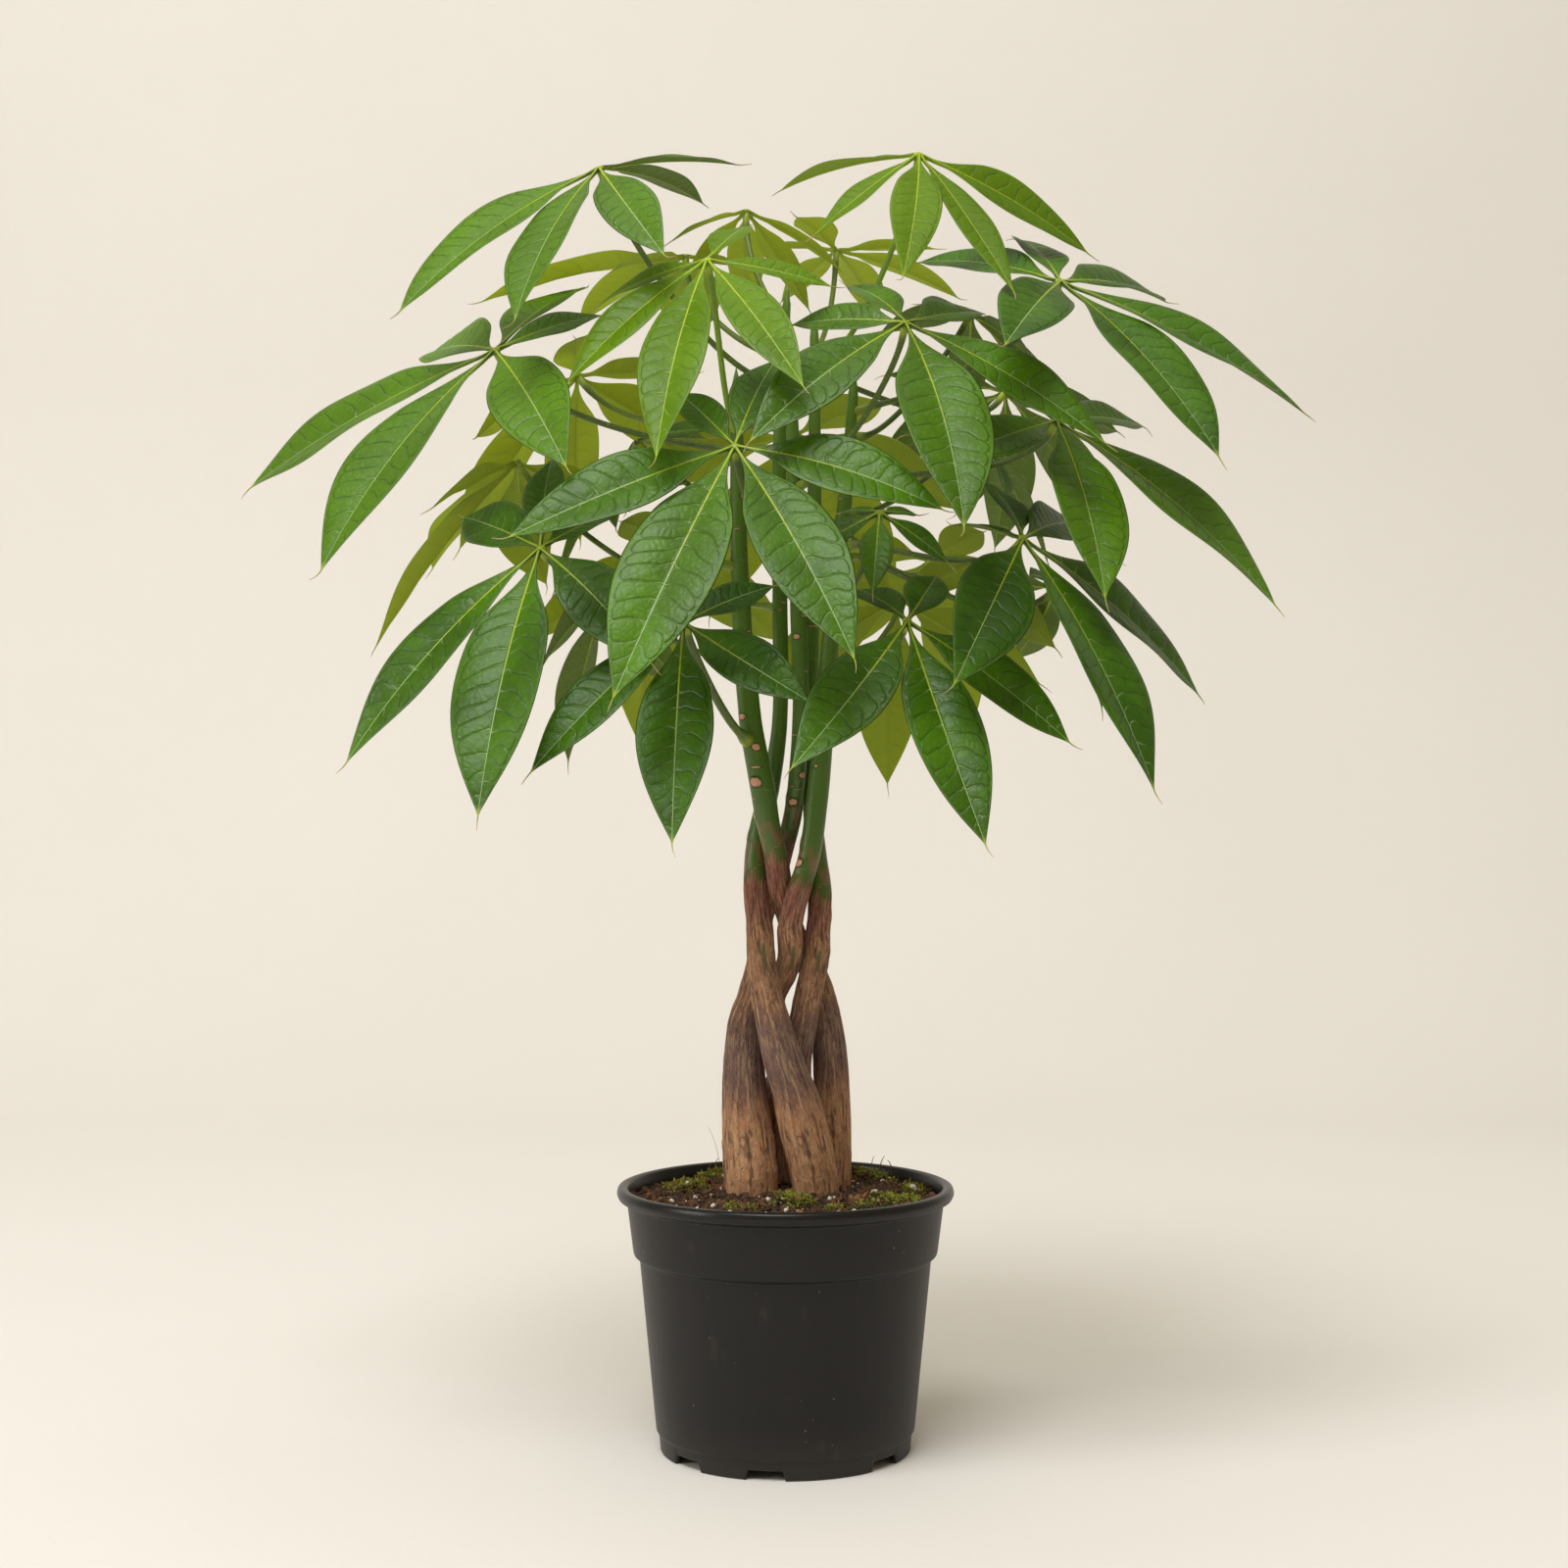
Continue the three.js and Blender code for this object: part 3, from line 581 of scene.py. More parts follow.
def trunkShell(name, rows):
    # level rings round the curved middle line; the radius carries cork ridges near the soil,
    # fine wrinkles above them, and a raised pad at every leaf scar
    top = rows[-1][0]
    bounds = [rows[0][0], *trunk["zones"], top]
    zones = zip(bounds, bounds[1:], trunk["steps"])
    z = np.concatenate([np.arange(*zone) for zone in zones] + [[top]])[:, None]
    turn = fullTurn(trunk["sides"])
    seed = int(name[-1]) * 11
    across, depth, radius = middleAt(rows, z)
    c, s = np.cos(turn), np.sin(turn)

    corkTop, green = trunk["corkTop"][name], trunk["greenFrom"][name]
    cork = 1 - smooth(z, corkTop - 18, corkTop + 14)
    bark = smooth(z, corkTop + 20, corkTop + 55) * (1 - smooth(z, green - 14, green + 6))
    ridges = 1 - np.abs(2 * roughness(c * 2.3 + 9, s * 2.3 + 9, z / 13, seed) - 1)
    flakes = roughness(c * 3.4 + 5, s * 3.4 + 5, z / 6, seed + 3)
    bands = smooth(grain(c * 0.9 + 3, s * 0.9 + 3, z / 4.2, seed + 6), 0.55, 0.8)
    relief = trunk["corkDepth"] * cork * (ridges - 0.7 + 0.55 * bands)
    relief += trunk["barkDepth"] * (0.4 + bark) * (flakes - 0.5) * 2 * (1 - smooth(z, green, green + 12))
    relief += trunk["stemDepth"] * (grain(c * 2, s * 2, z / 9, seed + 8) - 0.5) * 2
    relief += 0.5 * (grain(c * 0.8, s * 0.8, z / 26, seed + 9) - 0.5)

    scars = scarPlaces(name, rows)
    around = (turn[None, :, None] - scars[:, 1] + math.pi) % (2 * math.pi) - math.pi
    around = around * np.minimum(radius, 7)[..., None]
    above = z[..., None] - scars[:, 0]
    far = np.hypot(around, above)
    nearest = far.argmin(-1)[..., None]
    dx = np.take_along_axis(around, nearest, -1)[..., 0]
    dz = np.take_along_axis(np.broadcast_to(above, far.shape), nearest, -1)[..., 0]
    size = scars[:, 2][nearest[..., 0]]
    dx, dz = dx / size, dz / size
    pad = np.exp(-(dx / 2.4) ** 2 - (dz / 2.1) ** 2)
    relief += trunk["scarPad"] * pad * (0.5 + 0.5 * smooth(z, 225, 290))

    wide = radius * (1 - 0.55 * smooth(z, top - 7, top)) + relief * smooth(radius, 1.5, 5)
    rings = together(across + wide * c, depth + wide * s, z)
    shifted = np.where(z > 230, z + (295 - green) * smooth(z, 230, 280), z + (172 - corkTop))
    data = {"wrap": together(c, s, shifted / 100),
            "scar": together(np.clip(dx, -9, 9), np.clip(dz, -9, 9), cork)}
    foot, tip = (np.array([*middleAt(rows, h)[:2], h], float) for h in (rows[0][0], top))
    return ringShell(rings, foot, tip + trunk["tipRise"] * up, data)


def barkFinish():
    sheet = Sheet("trunkBark")
    wrap = sheet.attribute("wrap")
    _, _, high = sheet.split(wrap)
    dx, dz, cork = sheet.split(sheet.attribute("scar"))
    height = high * 100
    broad = sheet.noise(wrap, (1.2, 1.2, 5))
    fibre = sheet.noise(wrap, (5.5, 5.5, 8), 6.0, 0.66, 0.4)
    fine = sheet.noise(wrap, (16, 16, 26), 4.0, 0.7)
    chunk = sheet.noise(wrap, (3.4, 3.4, 17), 5.0, 0.7, 1.2)
    speckle = sheet.noise(wrap, (22, 22, 150), 2.0)
    greenTone = sheet.noise(wrap, (2, 2, 9))
    plates = sheet.cells(wrap, (4, 4, 9))

    # the colour climbs from tan cork through purple brown and red brown to green
    level = ((height - 120 + (broad - 0.5) * 26 + (fibre - 0.5) * 12) / 480).most(0)
    stops = [(0.0, paint(202, 148, 104)), (0.08, paint(208, 154, 110)), (0.112, paint(166, 118, 88)),
             (0.14, paint(122, 92, 82)), (0.195, paint(118, 92, 86)), (0.225, paint(164, 116, 88)),
             (0.29, paint(178, 128, 94)), (0.325, paint(168, 108, 88)), (0.352, paint(152, 90, 76)),
             (0.36, paint(88, 90, 30)), (0.372, paint(60, 92, 16)), (0.6, paint(72, 106, 20)),
             (1.0, paint(96, 130, 44))]
    colour = sheet.node("ValToRGB", {"stops": stops}, [level], "Color")
    woody = 1 - height.rise(288, 300)
    rough = (cork.most(height.rise(216, 226) * (1 - height.rise(268, 280)))) * 0.7 + 0.3
    patch = chunk.rise(0.51, 0.58) * woody * rough
    # lighter on the tops of the fibre ridges that the bump raises: a painted highlight
    crestHighlight = fibre.rise(0.52, 0.62) * woody
    # darker in the furrows between fibres, the cracks between plates and the hollows of the flakes, where
    # the bump sinks: painted shade
    crackShade = (1 - plates.rise(0.0, 0.07)) * rough * woody
    furrowShade = (1 - fibre.rise(0.38, 0.47)) * woody
    tornShade = (1 - chunk.rise(0.36, 0.42)) * woody * rough
    mossy = broad.rise(0.54, 0.62) * height.rise(236, 244) * (1 - height.rise(254, 264))
    reddish = broad.rise(0.53, 0.6) * height.rise(288, 296) * (1 - height.rise(306, 320))
    # a scar is a pale oval with a dark rim, cut out of its distances round and along the stem
    oval = ((dx / 2.5) ** 2 + (dz / 2.0) ** 2) ** 0.5 + (fibre - 0.5) * 0.9
    shown = height.rise(240, 296)
    inside = (1 - oval.rise(0.72, 0.95)) * shown
    rim = (1 - oval.rise(1.0, 1.3)) * oval.rise(0.72, 0.95) * shown
    line = (1 - abs(dz + 2.6).rise(0.1, 0.3)) * height.rise(296, 305)
    colour = sheet.coats(
        colour,
        (broad.rise(0.5, 0.64) * woody * 0.5, paint(96, 70, 62)),
        (patch * 0.7, paint(214, 160, 114)),
        # painted highlight on the ridge tops
        (crestHighlight * (0.25 + 0.4 * rough), paint(222, 184, 138)),
        # painted shade in the furrows, cracks and hollows
        ((furrowShade * 0.75).most(crackShade * 0.25).most(tornShade * 0.65), paint(66, 42, 30)),
        (fine.rise(0.56, 0.66) * woody * 0.3, paint(214, 180, 142)),
        (mossy * 0.6, paint(92, 98, 50)),
        (speckle.rise(0.64, 0.72) * woody * 0.45, paint(216, 188, 154)),
        ((1 - woody) * greenTone * 0.3, paint(88, 116, 40)),
        (reddish * 0.6, paint(130, 84, 62)),
        (rim * 0.5, paint(52, 44, 22)),
        (inside * 0.92, paint(206, 150, 116)),
        (line * 0.25, paint(122, 120, 62)))

    relief = (fibre * 1.2 + fine * 0.4 + chunk * 0.8 * rough) * (0.06 + 0.94 * woody)
    relief = relief + plates.rise(0.0, 0.1) * 0.12 * rough * woody
    relief = relief + 0.25 * rim + 0.06 * line + speckle * 0.1 * woody
    gloss = 0.36 + 0.42 * woody + 0.1 * (fibre - 0.5)
    return sheet.finish(sheet.skin(colour, gloss, sheet.bump(relief, 0.0022)))


def makeTrunks():
    finish = barkFinish()
    for name, rows in trunkRows.items():
        makePiece(name + "_bark", [trunkShell(name, rows)], [finish], name)


makeTrunks()
print("trunks made")


# Leaves

leafRows = [  # stem, height of the root, hub and tips, seen from the front as across, up, depth;
    # a tip may go on with its share of the usual width and how far its face turns to the front
    ["trunk_1", 545, [-95, 652, -10], [
        [-197, 579, -50, 0.92, 0.3], [-138, 575, -102, 0.8], [-62, 608, -80, 0.86], [-25, 654, 20, 0.9],
        [-42, 634, 95, 0.5]]],
    ["trunk_5", 556, [68, 659, -20], [
        [-2, 641, 40, 0.76], [16, 619, -28, 0.76], [60, 597, -107, 0.63], [116, 590, -80, 0.6],
        [154, 609, 25, 0.8, 0.7]]],
    ["trunk_2", 520, [-40, 605, -50], [
        [-111, 543, -76, 0.8], [-66, 505, -124, 0.74], [9, 541, -118, 0.7], [23, 592, -40, 0.8],
        [-93, 584, -20, 0.8], [-20, 622, 10, 0.84]]],
    ["trunk_2", 508, [-148, 559, -25], [
        [-273, 489, 15, 0.9], [-237, 447, -92, 0.9], [-112, 500, -115, 0.95], [-181, 557, 50, 1.3],
        [-102, 591, 58, 1], [-94, 577, -4, 0.95, 0.4]]],
    ["trunk_3", 490, [61, 573, -60], [
        [3, 572, -30, 1.1, 0.4], [-18, 513, -113, 0.88], [91, 469, -145, 0.94], [163, 512, -80, 0.87],
        [32, 592, 0, 0.88], [101, 578, -5]]],
    ["trunk_4", 530, [140, 594, -20], [
        [68, 604, 40, 0.95, 0.5], [117, 616, 55, 0.95, 0.2], [112, 562, -112, 0.95, 0.3],
        [221, 505, -90, 0.95], [265, 527, -22, 0.88], [194, 584, 60]]],
    ["trunk_3", 440, [-26, 510, -90], [
        [-141, 464, -120, 0.9], [-88, 382, -158, 0.94], [35, 402, -158, 0.88], [80, 478, -112, 0.95],
        [-54, 537, -50], [-5, 554, -42]]],
    ["trunk_2", 450, [-125, 458, -60], [
        [-224, 349, -72, 0.68], [-157, 322, -130, 0.92], [-68, 399, -100, 1.06], [-164, 474, -5, 1.2],
        [-119, 504, -15], [-86, 477, -25, 1.1]]],
    ["trunk_4", 460, [121, 463, -50], [
        [86, 389, -130], [188, 335, -105, 0.9], [211, 383, 5, 0.85], [148, 470, 28, 0.95],
        [98, 494, 15, 0.95], [86, 470, -20, 0.95]]],
    ["trunk_2", 362, [-52, 420, -70], [
        [-130, 344, -105, 0.8], [-58, 308, -130, 0.9], [12, 380, -112], [-6, 439, -50, 1.1],
        [-79, 440, -36]]],
    ["trunk_4", 385, [62, 421, -70], [
        [3, 346, -132, 0.93], [102, 307, -130, 0.87], [145, 359, -80, 0.95], [77, 444, -20, 1.1],
        [37, 437, -25, 1.2]]],
    ["trunk_4", 495, [138, 523, -15], [
        [163, 433, -98, 0.93], [250, 429, -60, 0.84], [82, 503, -75], [183, 520, 45], [120, 530, 55]]],
    ["trunk_1", 582, [-20, 630, 60], [
        [-58, 615, 18, 0.6], [-50, 592, 105, 0.6], [-18, 578, 155, 0.6], [12, 580, 125, 0.6],
        [28, 600, 82, 0.6]]],
    ["trunk_5", 566, [26, 610, 120], [
        [6, 627, 75, 1.25], [-10, 612, 130, 0.7], [-2, 584, 185, 0.7], [46, 574, 215, 0.7],
        [88, 586, 180, 0.66], [76, 611, 110, 0.76]]],
    ["trunk_2", 430, [-137, 502, 40], [
        [-209, 408, 10], [-180, 448, 110], [-180, 479, 0], [-122, 440, 130], [-92, 478, 95]]],
    ["trunk_1", 560, [-51, 607, 50], [
        [-155, 584, 45, 1.05], [-105, 573, 120, 0.95], [-50, 560, 152], [-88, 600, 5], [-18, 600, 28]]],
]

fannedRows = [  # stem, height of the root, hub, facing, lean, number of leaflets, longest leaflet
    ["trunk_1", 472, [-76, 513, 20], 185, 38, 5, 85],
    ["trunk_4", 430, [48, 476, -46], 268, 35, 5, 50],
    ["trunk_5", 382, [58, 433, 66], 96, 58, 5, 104],
    ["trunk_4", 515, [95, 578, 40], 15, 24, 5, 86],
    ["trunk_4", 475, [98, 517, 64], 10, 40, 5, 77],
    ["trunk_1", 524, [-106, 546, 125], 135, 35, 6, 118],
    ["trunk_5", 505, [5, 516, 160], 92, 35, 6, 130],
    ["trunk_5", 550, [112, 538, 134], 48, 35, 6, 112],
    ["trunk_1", 430, [-62, 459, 130], 115, 45, 5, 115],
    ["trunk_5", 478, [74, 452, 142], 64, 45, 5, 112],
    ["trunk_1", 395, [-92, 433, 72], 145, 50, 5, 90],
    ["trunk_4", 455, [138, 438, 90], 20, 45, 5, 76],
]

blade = {
    "eyeDistance": 1250,
    "eyeHeight": 338,
    "width": 0.34,
    "arch": 0.08,
    "sway": 0.05,
    "fanDroop": 24,
    "columns": [0, 0.07, 0.22, 0.42, 0.62, 0.81, 0.95, 1],
    "frontStations": 76,
    "backStations": 48,
    "thread": 7.5,
    "threadStations": [0.25, 0.5, 0.75, 0.95],
    "halfThick": 0.22,
    "veins": [8, 20],  # on each side: so many, and one more for each so many mm of length
    "quilt": 0.56,
    "pillow": 0.55,
    "valley": [0.37, 0.17],
    "ripple": 0.06,
    "twist": 0.12,
    "hubRadius": 2.6,
    # the numbers of the leaves with a look of their own
    "young": [2, 3],
    "lime": [2],
    "backLit": [13, 14, 15, 16, 19, 22, 23, 25, 26],
}

stalk = {
    "stout": {10: 1.4},  # this leaf's stalk is so much thicker
    "root": 2.6,
    "middle": 1.5,
    "top": 1.9,
    "handle": 0.2,
    "into": 2.6,
    "footOff": 0.5,
    "underHub": 3.7,
    "sag": 1.6,
    "stations": 32,
    "sides": 12,
}


def seenPlace(row):
    across, high, depth = row[:3]
    grow = (blade["eyeDistance"] + depth) / blade["eyeDistance"]
    return np.array([across * grow, depth, blade["eyeHeight"] + (high - blade["eyeHeight"]) * grow])


def draw(a, b):  # a fixed value between -1 and 1 for two numbers
    x = math.sin(a * 12.9898 + b * 78.233) * 43758.5453
    return 2 * (x - math.floor(x)) - 1


def fannedTips(hub, facing, lean, count, reach, index):
    # leaflets spread evenly round the leaf's leaning axis, the ones in front the longest
    facing, lean = math.radians(facing), math.radians(lean)
    heading = np.array([math.cos(facing), math.sin(facing), 0])
    axis = up * math.cos(lean) + heading * math.sin(lean)
    down = heading * math.cos(lean) - up * math.sin(lean)
    across = np.cross(axis, down)
    tips = []
    for k in range(count):
        angle = (k - (count - 1) / 2) * 2 * math.pi / (count + 0.5) + 0.08 * draw(index, k + 20)
        droop = math.radians(blade["fanDroop"] + 5 * draw(index, k + 40))
        length = reach * (0.76 + 0.24 * math.cos(angle)) * (1 + 0.06 * draw(index, k + 60))
        flat = length * math.cos(droop)
        tips.append(hub + down * flat * math.cos(angle) + across * flat * math.sin(angle)
                    - axis * length * math.sin(droop))
    return tips


def leafFrame(hub, leaflets):
    # the axis is the sum of the cross products of neighbouring ribs, so it faces the upper side
    outward = unit(np.array([hub[0], hub[1], 0]))
    guess = unit(outward * 0.8 + up)

    def angleAbout(axis, first, v):
        return math.atan2(v @ np.cross(axis, first), v @ first)

    first = unit(outward - guess * (outward @ guess))
    loop = sorted(leaflets, key=lambda leaflet: angleAbout(guess, first, leaflet[0]))
    axis = unit(sum(np.cross(rib, loop[(i + 1) % len(loop)][0]) for i, (rib, _, _) in enumerate(loop)))
    side = unit(first - axis * (first @ axis))
    loop.sort(key=lambda leaflet: angleAbout(axis, side, leaflet[0]))
    return axis, side, loop


def leafletShell(hub, leaflet, axis, stations, index, number, shade):
    # the rib is a parabola from the hub to the tip; the width is a skewed sine of the length that
    # narrows to a wedge at the hub; both halves of the blade rise from the rib like a valley and
    # swell between their side veins, and both faces meet at the margin; past the tip a thread curls
    rib, share, turned = leaflet
    length = np.linalg.norm(rib)
    left = unit(np.cross(axis + turned * front, rib))
    bulge = unit(np.cross(rib, left))
    chance = [0.5 + 0.5 * draw(index + 0.37, number * 7 + k) for k in range(8)]
    bend = hub + 0.5 * rib + bulge * (blade["arch"] * length)
    bend = bend + left * (blade["sway"] * draw(index, number) * length)
    tip = hub + rib
    thread = blade["thread"] / length
    beyond = 1 + thread * np.array(blade["threadStations"])
    s = np.concatenate([np.linspace(1.5 / length, 1, stations), beyond])[:, None]
    middle = parabola(hub, bend, tip, s)
    along = unit(2 * (1 - s) * (bend - hub) + 2 * s * (tip - bend))
    across = unit(left - along * dotted(along, left))
    normal = np.cross(along, across)
    turn = blade["twist"] * (2 * chance[0] - 1) * (s - 0.35) * 2
    across, normal = (across * np.cos(turn) + normal * np.sin(turn),
                      normal * np.cos(turn) - across * np.sin(turn))
    past = np.clip((s - 1) / thread, 0, 1)
    curl = across * (chance[6] - 0.5) * 1.1 + normal * (chance[7] - 0.4) * 0.8
    middle = middle + curl * blade["thread"] * past ** 2

    columns = np.array(blade["columns"])
    above = np.concatenate([columns[::-1], -columns[1:]])
    u = np.concatenate([above, above[-2:0:-1]])
    face = np.concatenate([np.ones(len(above)), -np.ones(len(above) - 2)])
    edge = np.abs(u)

    inner = np.clip(s, 0, 1)
    outline = np.sin(math.pi * inner ** 1.1).clip(0, 1) * (0.3 + 0.7 * smooth(s, 0, 0.35))
    petiole = 1.1 * np.exp(-s * length / 8) + 0.3 - 0.2 * smooth(s, 1, 1 + thread)
    half = np.hypot(petiole, 0.5 * blade["width"] * share * length * outline)
    veins = blade["veins"][0] + length / blade["veins"][1]
    phase = veins * (s - 0.32 * half / length * (0.6 * edge + edge ** 2)) + 0.25 * np.tanh(9 * u)
    uneven = 0.2 * np.sin(2 * math.pi * (2.3 * s + chance[1] + 0.37 * np.tanh(9 * u)))
    phase = phase + uneven + 0.1 * np.sin(2 * math.pi * (5.3 * s + 0.9 * u + chance[2]))
    pillow = np.abs(np.sin(math.pi * phase)) ** blade["pillow"]
    middlePart = smooth(s, 0.06, 0.2) * (1 - smooth(s, 0.88, 0.98))
    swell = blade["quilt"] * (half / 20) ** 0.6 * (pillow - 0.6) * middlePart
    swell = swell * smooth(edge, 0.02, 0.2) * (1 - smooth(edge - 0.08 * pillow, 0.62, 0.88))

    lift = half * (blade["valley"][0] * edge - blade["valley"][1] * edge ** 2)
    wave = np.sin(2 * math.pi * ((1.1 + 0.8 * chance[3]) * s + chance[4] + 0.5 * (u > 0)))
    lift = lift + blade["ripple"] * half * edge ** 2 * wave * middlePart
    ribUnder = (0.95 * (1 - inner) ** 0.8 + 0.12) * np.exp(-(u * half / 0.95) ** 2)
    ribTop = 0.3 * (1 - inner) ** 0.7 * np.exp(-(u * half / 0.8) ** 2)
    round0 = np.exp(-(s * length / 6) ** 2) * 0.8
    thick = (blade["halfThick"] + round0) * np.sqrt((1 - edge ** 4).clip(0, 1))
    thick = thick + np.where(face > 0, ribTop, ribUnder)
    thick = np.where(edge > 0.999, 0, np.minimum(thick, 0.05 + 0.9 * half))
    lift = lift + swell + face * thick
    rings = middle[:, None] + across[:, None] * (half * u)[..., None]
    rings = rings + normal[:, None] * lift[..., None]
    data = {"blade": together(u, s, phase), "tone": together(shade, chance[5], half)}
    end = middle[-1] + along[-1] * 0.04 * blade["thread"]
    slots = np.where(np.arange(len(u)) < len(above) - 1, 0, 1)
    return ringShell(rings, middle[0], end, data, slots)


def tubeShell(path, radius, sides, data, slot=0):
    # rings square to the path; their first direction is the path's own plane turned square to it
    path = np.asarray(path)
    heading = unit(np.gradient(path, axis=0))
    chord = path[-1] - path[0]
    steady = np.cross(chord, path[1] - path[0])
    if np.linalg.norm(steady) < 1e-6:
        steady = np.cross(chord, [0.31, 0.2, 0.93])
    first = unit(steady - heading * dotted(heading, steady))
    second = np.cross(heading, first)
    turn = fullTurn(sides)[None, :, None]
    spokes = first[:, None] * np.cos(turn) + second[:, None] * np.sin(turn)
    return ringShell(path[:, None] + radius[:, None, None] * spokes, path[0], path[-1], data, slot)


def stalkShell(stem, root, stout, hub, axis, shade):
    # a cubic curve that leaves the stem square to it and comes to the hub along the leaf's axis;
    # its foot widens, leans down the stem and ends inside it
    across, depth, thick = middleAt(trunkRows[stem], root)
    middle = np.array([across, depth, root], float)
    outward = unit((hub - middle) * [1, 1, 0])
    foot = middle + outward * (thick + stalk["footOff"])
    top = hub - axis * stalk["underHub"]
    reach = np.linalg.norm(top - foot)
    corners = [top, top - axis * 0.3 * reach, foot + outward * stalk["handle"] * reach, foot]
    t = np.linspace(0, 1, stalk["stations"])[:, None]
    shares = [(1 - t) ** 3, 3 * t * (1 - t) ** 2, 3 * t ** 2 * (1 - t), t ** 3]
    path = sum(share * corner for share, corner in zip(shares, corners))
    path = path - up * stalk["sag"] * smooth(t, 0.9, 1)
    inner = [foot - outward * stalk["into"] * k - up * (stalk["sag"] + 1.1 * k) for k in (0.4, 1)]
    path = np.concatenate([[hub], path, inner])
    t = np.concatenate([[0], t[:, 0], [1, 1]])
    radius = stalk["middle"] + (stalk["top"] - stalk["middle"]) * (1 - smooth(t, 0, 0.14))
    radius = radius + (stalk["root"] - stalk["middle"]) * smooth(t, 0.82, 1)
    radius[-1] *= 0.75
    radius = radius * stout
    data = {"blade": together(0, t, 0)[:, None], "tone": together(shade, 0, radius)[:, None]}
    return tubeShell(path, radius, stalk["sides"], data, 2)


def hubShell(hub, axis, side, shade):  # a flattened ball
    lean = np.linspace(-1.35, 1.35, 9)[:, None]
    turn = fullTurn(24)
    across = np.cross(axis, side)
    ring, ends = blade["hubRadius"] * np.cos(lean), 0.5 * blade["hubRadius"] * axis
    rings = hub + (ring * np.cos(turn))[..., None] * side + (ring * np.sin(turn))[..., None] * across
    rings = rings + np.sin(lean)[..., None] * ends
    data = {"blade": np.array([0, 0, 0.5]), "tone": np.array([shade, 0, 1.0])}
    return ringShell(rings, hub - ends, hub + ends, data, 2)


def veinMasks(sheet):
    # how close a point is to the rib, to the creases of the side veins and the loops that join
    # them, and to the margin, from the blade's own measures
    u, s, phase = sheet.split(sheet.attribute("blade"))
    shade, chance, half = sheet.split(sheet.attribute("tone"))
    edge = abs(u)
    fromRib = edge * half
    fromMargin = (1 - edge) * half
    reach = 0.2 + 0.46 * (1 - s).most(0) ** 1.5
    rib = 1 - (fromRib / reach).rise(0.6, 1.1)
    between = phase.fract()
    offVein = abs((phase + 0.5).fract() - 0.5)
    dome = (between * (1 - between) * 4).most(0) ** 0.5
    rim = 0.72 + 0.14 * dome
    inside = 1 - (edge - rim).rise(-0.03, 0.04)
    ends = s.rise(0.08, 0.18) * (1 - s.rise(0.9, 0.99))
    line = (1 - offVein.rise(0.0, 0.06)) * fromRib.rise(0.3, 1.2)
    loop = 1 - abs(edge - rim).rise(0.0, 0.05)
    # the side-vein creases and the loops between them are painted darker in the finishes: painted shade in
    # the creases
    creaseShade = (line * inside).most(loop * 0.6) * ends
    paleLine = (1 - offVein.rise(0.0, 0.05)) * (1 - fromRib.rise(0.8, 7.0)) * ends
    return {"s": s, "rib": rib, "creaseShade": creaseShade, "paleLine": paleLine, "line": line * inside * ends,
            "dome": offVein.rise(0.0, 0.13) * inside * ends, "shade": shade, "chance": chance,
            "fromMargin": fromMargin, "thread": s.rise(1.008, 1.03)}


def leafSkin(sheet, look, m, colour, roughness, normal):
    # a glossy skin mixed with light from behind, which the rib and the side veins hold back
    glow = sheet.node("BsdfTranslucent", inputs={"Color": look["glow"]})
    share = look["through"] * (1 - 0.6 * (m["line"] * 0.5).most(m["rib"]))
    skin = sheet.skin(colour, roughness, normal, IOR=1.4)
    return sheet.finish(sheet.node("MixShader", inputs={0: share, 1: skin, 2: glow}))


def upperFinish(name, look):
    sheet = Sheet(name)
    place = sheet.place()
    m = veinMasks(sheet)
    cloud = sheet.noise(place, 26.0, 4.0)
    fine = sheet.noise(place, 420.0, 3.0, 0.6)
    net = sheet.cells(place, 620.0)
    mesh = sheet.cells(place, 250.0)
    colour = sheet.coats(
        look["deep"],
        (cloud.rise(0.38, 0.62), look["fresh"]),
        # the shade value, lower on leaves lower in the crown, takes pale colour away and brings in the deep
        # one: painted shade under the canopy, beside a random tone
        (m["shade"] * 0.6, look["pale"]),
        ((m["chance"] * 0.4).most(0.4 - m["shade"]), look["deep"]),
        ((1 - m["s"].rise(0.0, 0.35)) * 0.3, look["pale"]),
        (fine * 0.14, look["fresh"]),
        # a darker network over the small cell grooves that the bump sinks: painted shade
        ((1 - mesh.rise(0.0, 0.1)) * 0.22, look["creaseShade"]),
        # painted shade in the quilted creases of the side veins and their loops
        (m["creaseShade"] * 0.7, look["creaseShade"]),
        (m["paleLine"] * 0.55, look["vein"]),
        ((1 - m["fromMargin"].rise(0.5, 1.3)) * 0.14, look["vein"]),
        # a thin darker line along the margin, in the same dark colour
        ((1 - m["fromMargin"].rise(0.15, 0.55)) * look["outline"], look["creaseShade"]),
        (m["rib"] * 0.9, sheet.blend(m["s"].rise(0.3, 0.7), look["rib"], look["vein"])),
        (m["s"].rise(0.965, 1.0) * 0.7, look["rib"]),
        (m["thread"], threadTan))
    gloss = look["gloss"] + 0.12 * (cloud - 0.5) + 0.06 * fine
    height = m["dome"] * 0.5 + mesh.rise(0.0, 0.35) * 0.2 + net.rise(0.0, 0.3) * 0.05
    height = height + fine * 0.1 + m["rib"] * 0.3
    return leafSkin(sheet, look, m, colour, gloss, sheet.bump(height, 0.0005))


